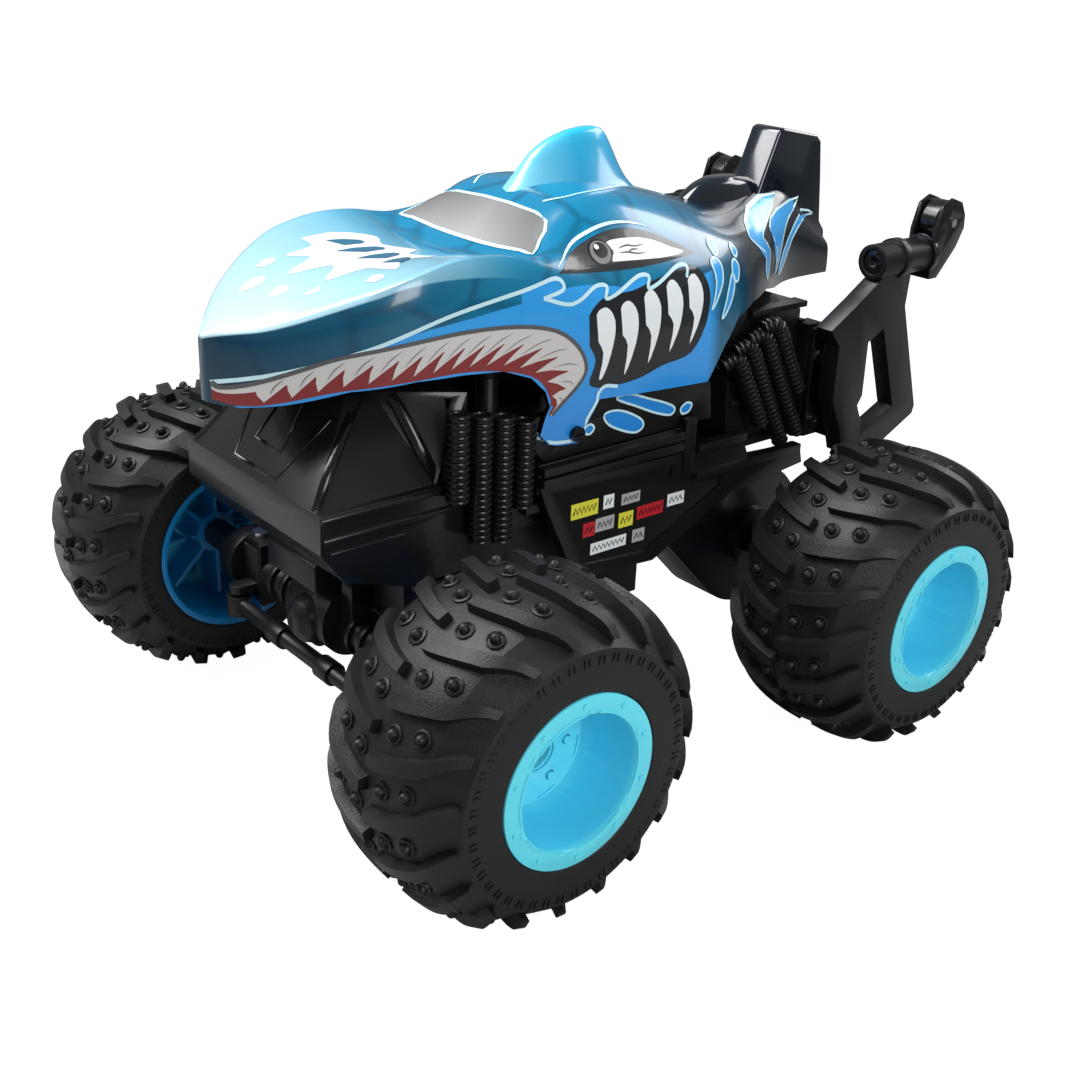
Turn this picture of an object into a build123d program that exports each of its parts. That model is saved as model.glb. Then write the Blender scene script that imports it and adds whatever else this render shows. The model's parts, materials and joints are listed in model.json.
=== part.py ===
"""Radio-controlled stunt truck with a shark-shaped body shell.

Modelled in millimetres: +X is the car's left side, -Y is its front, +Z is up.
Shapes are laid out about the middle of the wheelbase at ground level, and every
node is moved by MID_Y when it is saved, so that the origin lies under the middle
of the whole car.
"""
import os
from math import atan, cos, pi, radians, sin, sqrt, tan

from build123d import *

# Whole car
WHEELBASE = 170.7
HALF_TRACK = 98.5
FRONT_Y = -WHEELBASE / 2
REAR_Y = WHEELBASE / 2
GAP = 0.3
WALL = 2.0

# Wheels
TYRE_RADIUS = 55.0
TYRE_HALF_WIDTH = 30.7
AXLE_Z = TYRE_RADIUS
RIM_LIP_RADIUS = 27.9
RIM_INNER_RADIUS = 31.6
HUB_FACE = 10.0
NUT_SEAT = 5.0
NUT_WELL = 5.6
STUB_RADIUS = 2.5
AXLE_RADIUS = 3.0
RUNNING = 0.05

# Steering
KINGPIN_X = 50.0
STEER_ARM = 11.0
TIE_ROD_Z = 42.0
HORN_X = 26.0
HORN_Y = -72.35

# Drive train
MODULE = 1.0
PRESSURE = radians(20)
BACKLASH = 0.16
SPUR_TEETH = 46
IDLER_SMALL_TEETH = 12
IDLER_LARGE_TEETH = 34
MOTOR_TEETH = 10
IDLER_ANGLE = radians(140)
MOTOR_ANGLE = radians(180)

# Stunt arms and castors
CASTOR_X = 56.0
CASTOR_Z = 165.0
FORK_Y = 145.0
BOSS_Y = 116.3
ARM_FLANGE_X = 44.5
ARM_FLANGE_Y = 102.5
ARM_SCREW_Z = (129.0, 103.0)
SCREW_RADIUS = 1.2
CASTOR_REAR_Y = 163.6
CASTOR_WHEEL_Y = 155.4
CASTOR_WHEEL_Z = 176.6
CASTOR_WHEEL_RADIUS = 8.0

# From the middle of the wheelbase to the middle of the whole car
MID_Y = -(FRONT_Y - TYRE_RADIUS + CASTOR_REAR_Y) / 2

# Body posts between deck and shell: x, y and height of the top
BODY_POSTS = ((24, -40, 177.8), (-24, -40, 177.8), (24, 20, 188.6), (-24, 20, 188.6))

# Screws through the shell's cheek flaps: y and height
CHEEK_SCREW = (-23.3, 124.2)

# Battery door and power switch, on the underside
TUB_BOTTOM = 46.0
DOOR_FRONT_Y = -40.0
DOOR_REAR_Y = 8.0

os.makedirs("parts", exist_ok=True)


# ---------------------------------------------------------------- helpers
def block(x0, x1, y0, y1, z0, z1):
    """Box between two opposite corners, given in either order."""
    return Pos((x0 + x1) / 2, (y0 + y1) / 2, (z0 + z1) / 2) * Box(abs(x1 - x0), abs(y1 - y0), abs(z1 - z0))


def bar_x(radius, x0, x1, y, z):
    return Pos((x0 + x1) / 2, y, z) * Rot(0, 90, 0) * Cylinder(radius, abs(x1 - x0))


def bar_y(radius, y0, y1, x, z):
    return Pos(x, (y0 + y1) / 2, z) * Rot(90, 0, 0) * Cylinder(radius, abs(y1 - y0))


def bar_z(radius, z0, z1, x, y):
    return Pos(x, y, (z0 + z1) / 2) * Cylinder(radius, abs(z1 - z0))


def plate_x(points, x0, x1):
    """Prism along X with an outline of (y, z) points."""
    outline = Polyline(*[(x0, y, z) for y, z in points], close=True)
    return extrude(make_face(outline), amount=x1 - x0, dir=(1, 0, 0))


def spin_x(points, x, y, z):
    """Solid of revolution about an axis along X, from (x, radius) points."""
    outline = Polyline(*[(px, 0, radius) for px, radius in points], close=True)
    return Pos(x, y, z) * revolve(make_face(outline), axis=Axis.X)


def spin_y(points, x, y, z):
    """Solid of revolution about an axis along Y, from (y, radius) points."""
    outline = Polyline(*[(0, py, radius) for py, radius in points], close=True)
    return Pos(x, y, z) * revolve(make_face(outline), axis=Axis.Y)


def right(shape):
    """The same piece on the car's right side."""
    return mirror(shape, about=Plane.YZ)


def both(shape):
    return Compound(children=[shape, right(shape)])


def single(shape):
    """The one solid of a shape that is meant to be one."""
    solids = shape.solids()
    return max(solids, key=lambda solid: solid.volume)


def save(shape, name):
    """Write one node, moved so that the origin is under the middle of the car."""
    solids = [solid.moved(Location((0, MID_Y, 0))) for solid in shape.solids()]
    export_step(solids[0] if len(solids) == 1 else Compound(solids), f"parts/{name}.step")


# ---------------------------------------------------------------- wheels
def tyre(side):
    """Hollow crowned tyre; side is +1 on the left, -1 on the right."""
    crown = [(1.0, 39.6), (0.93, 46.2), (0.8, 50.3), (0.6, 53.1), (0.35, 54.6)]
    outer = [(share * TYRE_HALF_WIDTH, radius) for share, radius in crown]
    outer += [(0.0, TYRE_RADIUS)]
    outer += [(-x, radius) for x, radius in reversed(outer[:-1])]
    bead_in = [(-TYRE_HALF_WIDTH, RIM_INNER_RADIUS), (-26.5, RIM_INNER_RADIUS)]
    cavity = [(-27.5, 38.0), (-24.0, 45.0), (-14.0, 50.0), (0.0, 51.4)]
    cavity += [(-x, radius) for x, radius in reversed(cavity[:-1])]
    bead_out = [(26.5, RIM_LIP_RADIUS), (TYRE_HALF_WIDTH, RIM_LIP_RADIUS)]
    profile = [(side * x, radius) for x, radius in outer + bead_in + cavity + bead_out]
    return spin_x(profile, 0, 0, 0)


def rim(side, bore, ribs=8):
    """Dished rim: seat, outer flange, deep barrel, hub disc and inboard ribs."""
    half = TYRE_HALF_WIDTH - 0.5
    profile = [
        (half, RIM_LIP_RADIUS), (half, 22.0), (half - 2.0, 21.4), (HUB_FACE, 17.6),
        (HUB_FACE, NUT_WELL), (NUT_SEAT, NUT_WELL), (NUT_SEAT, bore),
        (-12.0, bore), (-12.0, 8.0), (HUB_FACE - 3.5, 8.0),
        (HUB_FACE - 3.5, 19.6), (22.5, 23.4), (22.5, 25.6), (-18.0, 26.0), (-half, 29.6),
        (-half, RIM_INNER_RADIUS), (-22.0, RIM_INNER_RADIUS), (-20.0, RIM_LIP_RADIUS),
    ]
    body = spin_x([(side * x, radius) for x, radius in profile], 0, 0, 0)
    depth = HUB_FACE - 3.5 + 12.0
    for index in range(ribs):
        rib = Pos(side * (HUB_FACE - 3.5 - depth / 2), 0, 16.9) * Box(depth, 1.6, 18.6)
        body += Rot(index * 360 / ribs, 0, 0) * rib
    for index in range(6):
        hole = bar_x(1.6, -20, 20, 0, 11.8)
        body -= Rot(index * 60 + 30, 0, 0) * hole
    return single(body)


def wheel_set(corner, x, y, bore):
    side = 1 if x > 0 else -1
    place = Pos(x, y, AXLE_Z)
    save(place * tyre(side), f"tyre_{corner}")
    save(place * rim(side, bore), f"rim_{corner}")


def wheel_nut(side, y, radius, gap=0.0):
    """Hexagon nut in the well of the hub disc, on its seat or a running gap away from it."""
    face = side * (HALF_TRACK + NUT_SEAT + gap)
    outer = face + side * 3.6
    nut = extrude(Plane.YZ.offset(face) * RegularPolygon(4.2, 6), amount=side * 3.6)
    nut = Pos(0, y, AXLE_Z) * nut
    return nut - bar_x(radius, min(face, outer) - 1, max(face, outer) + 1, y, AXLE_Z)


# ---------------------------------------------------------------- gears
def gear(teeth, x0, x1, y, z, turn, bore):
    """Involute spur gear on an axis along X, with a tooth centred at angle turn."""
    pitch = MODULE * teeth / 2
    base = pitch * cos(PRESSURE)
    tip = pitch + MODULE
    root = pitch - 1.25 * MODULE
    half_tooth = pi / (2 * teeth) - BACKLASH / (2 * pitch) + tan(PRESSURE) - PRESSURE
    start = max(base, root)
    points = []
    for index in range(teeth):
        centre = turn + 2 * pi * index / teeth
        flank = []
        for step in range(4):
            radius = start + (tip - start) * step / 3
            roll = sqrt(max((radius / base) ** 2 - 1, 0))
            flank.append((radius, half_tooth - (roll - atan(roll))))
        if root < start:
            flank.insert(0, (root, half_tooth))
        points += [(radius, centre - angle) for radius, angle in flank]
        points += [(radius, centre + angle) for radius, angle in reversed(flank)]
    outline = [(y + radius * cos(angle), z + radius * sin(angle)) for radius, angle in points]
    return plate_x(outline, x0, x1) - bar_x(bore, x0 - 1, x1 + 1, y, z)


IDLER_GAP = MODULE * (SPUR_TEETH + IDLER_SMALL_TEETH) / 2
MOTOR_GAP = MODULE * (IDLER_LARGE_TEETH + MOTOR_TEETH) / 2
IDLER_Y = REAR_Y + IDLER_GAP * cos(IDLER_ANGLE)
IDLER_Z = AXLE_Z + IDLER_GAP * sin(IDLER_ANGLE)
MOTOR_Y = IDLER_Y + MOTOR_GAP * cos(MOTOR_ANGLE)
MOTOR_Z = IDLER_Z + MOTOR_GAP * sin(MOTOR_ANGLE)
SPUR_X = (26.0, 31.0)
LARGE_X = (18.5, 23.0)
CASE_X = (15.0, 34.0)
COVER_X = (34.0, 36.5)


def drive_train():
    spur = gear(SPUR_TEETH, *SPUR_X, REAR_Y, AXLE_Z, IDLER_ANGLE, AXLE_RADIUS)
    for index in range(5):
        angle = index * 2 * pi / 5
        spur -= bar_x(4.2, SPUR_X[0] - 1, SPUR_X[1] + 1, REAR_Y + 13 * cos(angle), AXLE_Z + 13 * sin(angle))
    small_turn = IDLER_ANGLE + pi + pi / IDLER_SMALL_TEETH
    motor_turn = MOTOR_ANGLE + pi + pi / MOTOR_TEETH
    idler = gear(IDLER_SMALL_TEETH, LARGE_X[1], SPUR_X[1] + 0.5, IDLER_Y, IDLER_Z, small_turn, 2.0 + RUNNING)
    idler += gear(IDLER_LARGE_TEETH, *LARGE_X, IDLER_Y, IDLER_Z, MOTOR_ANGLE, 2.0 + RUNNING)
    pinion = gear(MOTOR_TEETH, LARGE_X[0] - 0.5, LARGE_X[1] + 0.5, MOTOR_Y, MOTOR_Z, motor_turn, 1.0)
    pinion += bar_x(1.0, 9.0, LARGE_X[1] + 1.0, MOTOR_Y, MOTOR_Z)
    save(spur, "spur_gear")
    save(single(idler), "idler_gear")
    save(single(pinion), "motor_pinion")
    save(bar_x(2.0, CASE_X[0], CASE_X[1], IDLER_Y, IDLER_Z), "idler_pin")
    reach = HALF_TRACK + NUT_SEAT + 4.4
    save(bar_x(AXLE_RADIUS, -reach, reach, REAR_Y, AXLE_Z), "rear_axle_shaft")


def case_outline(inset, x0, x1):
    """Rounded outline round the three gear centres, as one prism along X."""
    rings = [(REAR_Y, AXLE_Z, 28.5), (IDLER_Y, IDLER_Z, 21.5), (MOTOR_Y, MOTOR_Z, 9.5)]
    edges = []
    for y, z, radius in rings:
        edges += (Pos(y, z) * Circle(radius - inset)).edges()
    face = Plane(origin=(x0, 0, 0), x_dir=(0, 1, 0), z_dir=(1, 0, 0)) * make_hull(edges)
    return extrude(face, amount=x1 - x0, dir=(1, 0, 0))


def gearbox():
    case = case_outline(0, *CASE_X) - case_outline(WALL, CASE_X[0] + WALL, CASE_X[1] + 1)
    case -= bar_x(AXLE_RADIUS + 0.5, 10, 20, REAR_Y, AXLE_Z)
    case -= bar_x(2.0, 10, 20, IDLER_Y, IDLER_Z)
    case -= bar_x(3.0, 10, 20, MOTOR_Y, MOTOR_Z)
    cover = case_outline(0, *COVER_X)
    cover += bar_x(12.0, COVER_X[1], COVER_X[1] + 3.0, REAR_Y, AXLE_Z)
    cover += bar_x(6.0, COVER_X[1], COVER_X[1] + 1.5, IDLER_Y, IDLER_Z)
    cover -= bar_x(AXLE_RADIUS + 0.5, 30, 45, REAR_Y, AXLE_Z)
    save(case, "gearbox_case")
    save(cover, "gearbox_cover")
    tubes = bar_x(7.0, COVER_X[1] + 3.0, 64.0, REAR_Y, AXLE_Z) + bar_x(9.0, 58.0, 64.0, REAR_Y, AXLE_Z)
    tubes -= bar_x(4.5, 30.0, 70.0, REAR_Y, AXLE_Z)
    long_tube = bar_x(7.0, -64.0, CASE_X[0], REAR_Y, AXLE_Z) + bar_x(9.0, -64.0, -58.0, REAR_Y, AXLE_Z)
    long_tube -= bar_x(4.5, -70.0, 20.0, REAR_Y, AXLE_Z)
    save(Compound(children=[tubes, long_tube]), "rear_axle_tubes")
    bushes = []
    for x0 in (60.0, 42.0, -64.0, -20.0):
        bore = bar_x(AXLE_RADIUS + RUNNING, x0 - 1, x0 + 5, REAR_Y, AXLE_Z)
        bushes.append(bar_x(4.5, x0, x0 + 4.0, REAR_Y, AXLE_Z) - bore)
    save(Compound(children=bushes), "axle_bushes")
    motor = bar_x(12.0, -19.0, 12.0, MOTOR_Y, MOTOR_Z) + bar_x(5.0, 12.0, CASE_X[0], MOTOR_Y, MOTOR_Z)
    motor += bar_x(3.5, -21.0, -19.0, MOTOR_Y, MOTOR_Z)
    motor -= bar_x(1.0 + RUNNING, 8.0, 20.0, MOTOR_Y, MOTOR_Z)
    save(motor, "drive_motor")


# ---------------------------------------------------------------- front axle
def front_axle():
    tube = bar_x(6.5, -43.0, 43.0, FRONT_Y, AXLE_Z)
    for x in (-33.0, -25.0, -18.0, 18.0, 25.0, 33.0):
        tube += bar_x(8.0, x - 1.2, x + 1.2, FRONT_Y, AXLE_Z)
    tube += bar_x(13.0, -12.0, 12.0, FRONT_Y, AXLE_Z + 3)
    dome = [(0, 0), (0, 10.5), (-5, 10.5), (-6, 9.0), (-10, 7.5), (-12.5, 4.0), (-13.2, 0)]
    tube += spin_y(dome, 0, -90.0, AXLE_Z + 2)
    for side in (-1, 1):
        x = side * KINGPIN_X
        inner = side * 43.0
        tube += block(inner, side * 41.0, FRONT_Y - 6, FRONT_Y + 6, AXLE_Z - 12, AXLE_Z + 12)
        for z in (AXLE_Z - 12, AXLE_Z + 9):
            tube += block(inner, side * 53.0, FRONT_Y - 5, FRONT_Y + 5, z, z + 3)
        tube -= bar_z(2.0, 30, 80, x, FRONT_Y)
        tube += block(side * 12.0, side * 18.0, FRONT_Y - 5, FRONT_Y + 2.8, AXLE_Z + 3, 78.0)
    save(single(tube), "front_axle_housing")
    pins = []
    for side in (-1, 1):
        pin = bar_z(2.0, AXLE_Z - 13, AXLE_Z + 12.0, side * KINGPIN_X, FRONT_Y)
        pins.append(pin + bar_z(3.4, AXLE_Z + 12.0, AXLE_Z + 13.8, side * KINGPIN_X, FRONT_Y))
    save(Compound(children=pins), "kingpins")


def knuckle():
    """Left steering knuckle: kingpin block, stub axle, drum and steering arm."""
    body = block(45.0, 55.0, FRONT_Y - 5, FRONT_Y + 5, AXLE_Z - 8.6, AXLE_Z + 8.6)
    body += bar_x(11.0, 55.0, 63.0, FRONT_Y, AXLE_Z)
    body += bar_x(5.5, 63.0, HALF_TRACK - 12.6, FRONT_Y, AXLE_Z)
    body += bar_x(STUB_RADIUS, 63.0, HALF_TRACK + NUT_SEAT + 4.4, FRONT_Y, AXLE_Z)
    arm_y = FRONT_Y - STEER_ARM
    body += block(KINGPIN_X - 3.2, KINGPIN_X + 3.2, arm_y, FRONT_Y - 4, TIE_ROD_Z + 4.6, TIE_ROD_Z + 8.0)
    body += bar_z(3.2, TIE_ROD_Z + 4.6, TIE_ROD_Z + 8.0, KINGPIN_X, arm_y)
    body += bar_z(1.5, TIE_ROD_Z - 4.4, TIE_ROD_Z + 5.0, KINGPIN_X, arm_y)
    body -= bar_z(2.0 + RUNNING, 30, 80, KINGPIN_X, FRONT_Y)
    return single(body)


def steering():
    left = knuckle()
    save(left, "steering_knuckle_left")
    save(right(left), "steering_knuckle_right")
    bar_line = FRONT_Y - STEER_ARM
    rod = bar_x(3.0, -46.0, 46.0, bar_line, TIE_ROD_Z)
    for x in (-20.0, 12.0):
        rod += bar_x(4.2, x - 4.0, x + 4.0, bar_line, TIE_ROD_Z)
    for side in (-1, 1):
        rod += bar_z(4.4, TIE_ROD_Z - 3.8, TIE_ROD_Z + 3.8, side * KINGPIN_X, bar_line)
    rod += block(HORN_X - 3.5, HORN_X + 3.5, HORN_Y - STEER_ARM, bar_line, TIE_ROD_Z - 1.0, TIE_ROD_Z + 2.5)
    rod += bar_z(3.5, TIE_ROD_Z - 1.0, TIE_ROD_Z + 2.5, HORN_X, HORN_Y - STEER_ARM)
    for side in (-1, 1):
        rod -= bar_z(1.5 + RUNNING, 30, 60, side * KINGPIN_X, bar_line)
    rod -= bar_z(1.5 + RUNNING, 30, 60, HORN_X, HORN_Y - STEER_ARM)
    save(single(rod), "tie_rod")
    horn_top = TIE_ROD_Z - 1.6
    horn = block(HORN_X - 3.0, HORN_X + 3.0, HORN_Y - STEER_ARM, HORN_Y, horn_top - 3.0, horn_top)
    horn += bar_z(3.0, horn_top - 3.0, horn_top, HORN_X, HORN_Y - STEER_ARM)
    horn += bar_z(4.0, horn_top - 3.0, horn_top, HORN_X, HORN_Y)
    horn += bar_z(1.5, horn_top, TIE_ROD_Z + 2.5, HORN_X, HORN_Y - STEER_ARM)
    horn += bar_z(2.4, horn_top, 70.0, HORN_X, HORN_Y)
    save(single(horn), "servo_horn")
    servo = block(HORN_X - 10, HORN_X + 10, -82.0, -61.0, 64.0, 84.0)
    servo += block(HORN_X - 14, HORN_X + 14, -80.0, -63.0, 78.0, 80.0)
    servo += bar_z(5.0, 61.0, 64.0, HORN_X, HORN_Y)
    servo -= bar_z(2.4 + RUNNING, 50.0, 70.5, HORN_X, HORN_Y)
    save(servo, "steering_servo")


# ---------------------------------------------------------------- chassis
def chassis():
    floor = TUB_BOTTOM + WALL
    tub = plate_x([(-58, 96), (-58, 56), (-50, TUB_BOTTOM), (26, TUB_BOTTOM), (26, 96)], -34, 34)
    tub -= plate_x([(-56, 100), (-56, 57), (-49, floor), (24, floor), (24, 100)], -32, 32)
    tub -= block(-22, 22, DOOR_FRONT_Y, DOOR_REAR_Y, TUB_BOTTOM - 1, floor + 1)
    tub -= block(-29, -25, -4, 8, TUB_BOTTOM - 1, floor + 1)
    for side in (-1, 1):
        tub += block(side * 34.0, side * 37.0, -50, 20, 88, 96)
        tub += block(side * 22.0, side * 24.0, DOOR_FRONT_Y, DOOR_REAR_Y, floor, floor + 4)
    save(single(tub), "chassis_tub")

    deck = block(-36, 36, -96, -59.5, 96, 99) + block(-40, 40, -59.5, 99, 96, 99)
    for x, y, _ in BODY_POSTS:
        deck += bar_z(4.0, 99, 140, x, y)
        deck -= bar_z(SCREW_RADIUS, 120, 150, x, y)
    for side in (-1, 1):
        deck += block(side * 40.0, side * 44.0, -38, 60, 96, 99)
        deck += block(side * 12.0, side * 18.0, FRONT_Y - 5, FRONT_Y + 2.8, 78.0, 96)
        deck += block(side * 37.0, side * (ARM_FLANGE_X - 0.1), 98.3, 106.0, 96, 141)
        for z in ARM_SCREW_Z:
            deck -= bar_x(SCREW_RADIUS, side * 36, side * 46, ARM_FLANGE_Y, z)
    deck += block(-40, 40, 98.3, 100.8, 96, 142)
    deck += block(-24, 14.5, 62, 92, 74, 96) - block(-22, 16, 64, 90, 70, 94)
    servo_mount = block(HORN_X - 9, HORN_X + 9, -80.0, -63.0, 84.0, 96.0)
    deck += servo_mount - block(HORN_X - 7, HORN_X + 7, -78, -65, 80, 94)
    save(single(deck), "chassis_deck")

    battery = block(-18, 18, -36, 4, 51, 87)
    battery = fillet(battery.edges().filter_by(Axis.Y), 8)
    save(battery, "battery_pack")
    door = block(-21.7, 21.7, DOOR_FRONT_Y + GAP + 1, DOOR_REAR_Y - GAP, TUB_BOTTOM, floor)
    door += bar_x(WALL / 2, -21.7, 21.7, DOOR_FRONT_Y + GAP + 1, TUB_BOTTOM + WALL / 2)
    door -= block(-8, 8, -2, 3, TUB_BOTTOM - 1, TUB_BOTTOM + 0.8)
    save(door, "battery_door")
    board = block(-18, 18, -16, 34, 108, 109.6)
    for x, y, w, d, h in ((-9, 2, 10, 10, 2.0), (8, 6, 8, 10, 3.0), (0, 24, 20, 6, 6.0), (11, -8, 6, 6, 8.0)):
        board += block(x - w / 2, x + w / 2, y - d / 2, y + d / 2, 109.6, 109.6 + h)
    for x, y in ((-15, -13), (15, -13), (-15, 31), (15, 31)):
        board += bar_z(2.5, 99, 108, x, y)
    save(board, "circuit_board")
    switch = block(-30, -24, -8, 12, TUB_BOTTOM + WALL, 56)
    switch -= block(-28.4, -25.6, -4, 8, TUB_BOTTOM, TUB_BOTTOM + WALL + 3.0)
    save(switch, "switch_body")
    knob = block(-28.1, -25.9, -3.6, 1.6, TUB_BOTTOM - 1.6, TUB_BOTTOM + WALL + 2.4)
    save(knob, "switch_knob")


# ---------------------------------------------------------------- cowl and panels
def cowl():
    """Front cowl: hipped top with a sloped plate, ridged sides, tapered bottom."""
    face = [(-116, 113.8), (-116.2, 101.3), (-108, 90.3), (-84, 82), (-60, 82), (-60, 113.8)]
    lower = plate_x(face, -42, 42)
    hip = loft([
        Plane.XY.offset(113.8) * Pos(0, -88) * Rectangle(79, 56),
        Plane.XY.offset(142) * Pos(0, -77) * Rectangle(44, 34),
    ])
    rear = block(-39.5, 39.5, -90, -60, 113.8, 142)
    for side in (-1, 1):
        a = Vector(side * 39.5, -72, 113.8)
        b = Vector(side * 22.0, -84, 142)
        c = Vector(side * 39.5, -60, 142)
        normal = (b - a).cross(c - a).normalized() * side
        if normal.Y > 0:
            normal = normal * -1
        rear = split(rear, bisect_by=Plane(origin=a, z_dir=normal), keep=Keep.BOTTOM)
    body = lower + hip + rear
    body -= plate_x([(-113.5, 112), (-113.5, 102), (-106, 92.3), (-84, 80), (-58, 80), (-58, 112)], -37, 37)
    body -= loft([
        Plane.XY.offset(111) * Pos(0, -86.3) * Rectangle(74, 54),
        Plane.XY.offset(140) * Pos(0, -75) * Rectangle(40, 34),
    ])
    body -= block(-37, 37, -66, -58, 100, 140)
    body -= block(-20, 20, -93, -58, 75, 92)
    for side in (-1, 1):
        for z, y0, y1 in ((112.3, -115.8, -73.0), (105.5, -115.2, -64.6)):
            body += bar_y(1.3, y0, y1, side * 41.6, z)
        body += bar_y(0.5, -112.7, -85.8, side * 42.0, 101)
    save(single(body), "front_cowl")
    bumper = plate_x([(-102.5, 83.1), (-102.5, 74), (-94.5, 71.5), (-94.5, 84.8), (-99, 86.2)], -15.2, 15.2)
    for side in (-1, 1):
        bumper += block(side * 12.0, side * 15.2, -94.5, FRONT_Y - 5, 78.4, 84.0)
    save(bumper, "lower_bumper")


PANEL_OUTLINE = [
    (-36, 107), (30, 105), (31, 112), (36, 112), (36, 107), (62, 105), (66, 96), (96, 94), (98, 87),
    (57, 83), (19, 66), (-5, 68), (-19, 70), (-33, 99),
]
PANEL_RECESS = [(-30, 103.5), (26, 101.5), (26, 97), (52, 94.5), (52, 87.8), (15, 70.5), (-14, 73)]


def side_parts():
    panel = plate_x(PANEL_OUTLINE, 44.0, 48.5)
    panel -= plate_x(PANEL_RECESS, 46.8, 49.0)
    for y0, y1, z in ((-36, 29, 112.5), (-36, 29, 108.6), (37, 62, 105.6), (37, 94, 94.6)):
        panel += block(46.0, 50.5, y0, y1, z - 1.4, z + 1.4)
    panel += block(44.0, 49.5, 30.2, 35.5, 98, 118)
    panel += block(44.0, 47.0, -36, 30.2, 104.0, 114.4)
    save(single(panel), "side_panel_left")
    save(right(single(panel)), "side_panel_right")

    skirt = plate_x([(-37, 131), (-37, 119), (-33, 115), (29.6, 115), (29.6, 118.5), (36, 118.5), (36, 114.8),
                     (46, 114.8), (44, 129), (-8, 133)], 43.0, 46.3)
    skirt -= bar_x(SCREW_RADIUS, 40, 50, *CHEEK_SCREW)
    save(skirt, "side_skirt_left")
    save(right(skirt), "side_skirt_right")

    outer = [(62, 99), (60, 128), (54, 141.5), (66, 149.6), (95, 150.2), (98, 146), (98, 99)]
    inner = [(64.5, 98), (62.5, 128), (57.5, 141), (67, 147.4), (93.8, 147.8), (95.6, 145), (95.6, 98)]
    cover = plate_x(outer, -39.5, 39.5) - plate_x(inner, -37.2, 37.2)
    for z in (136.0, 129.0, 122.0, 115.0):
        cover += both(block(39.5, 41.0, 62.5, 94, z - 1.2, z + 1.2))
    cover += both(block(36, 42.5, 68, 98.0, 147.8, 150.0))
    save(single(cover), "engine_cover")


# ---------------------------------------------------------------- corrugated pipes
def ringed_tube(route, radius, ring_pitch=2.6):
    """Straight-run tube with a raised ring at every pitch."""
    tube = None
    for (x0, y0, z0), (x1, y1, z1) in zip(route[:-1], route[1:]):
        start = Vector(x0, y0, z0)
        way = Vector(x1, y1, z1) - start
        plane = Plane(origin=start, z_dir=way)
        run = plane * Pos(0, 0, way.length / 2) * Cylinder(radius * 0.86, way.length)
        rings = int(way.length / ring_pitch)
        for index in range(rings):
            run += plane * Pos(0, 0, ring_pitch * (index + 0.5)) * Cylinder(radius, ring_pitch * 0.5)
        joint = Pos(x1, y1, z1) * Sphere(radius * 0.86)
        tube = run if tube is None else tube + run
        if (x1, y1, z1) != tuple(route[-1]):
            tube += joint
    return single(tube)


FRONT_PIPES = [(-68.5, 110.0, 138.0), (-59.5, 94.0, 136.0), (-50.8, 92.0, 134.0), (-42.0, 102.0, 131.0)]
REAR_PIPES = [
    ((50.5, 133.0), (57.5, 136.5), (74.0, 107.5)),
    ((56.5, 137.5), (63.5, 140.5), (86.8, 97.6)),
    ((64.0, 140.5), (71.0, 143.0), (95.0, 100.0)),
    ((70.5, 144.0), (77.5, 146.0), (93.4, 117.5)),
]


def pipes():
    front = [ringed_tube([(46.4, y, low), (46.4, y, high)], 3.9) for y, low, high in FRONT_PIPES]
    save(Compound(children=front), "front_pipes_left")
    save(Compound(children=[right(pipe) for pipe in front]), "front_pipes_right")
    rear = []
    for start, bend, end in REAR_PIPES:
        route = [(45.2, start[0], start[1]), (45.6, bend[0], bend[1]), (45.6, end[0], end[1])]
        rear.append(ringed_tube(route, 3.3))
    save(Compound(children=rear), "rear_pipes_left")
    save(Compound(children=[right(pipe) for pipe in rear]), "rear_pipes_right")


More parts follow.
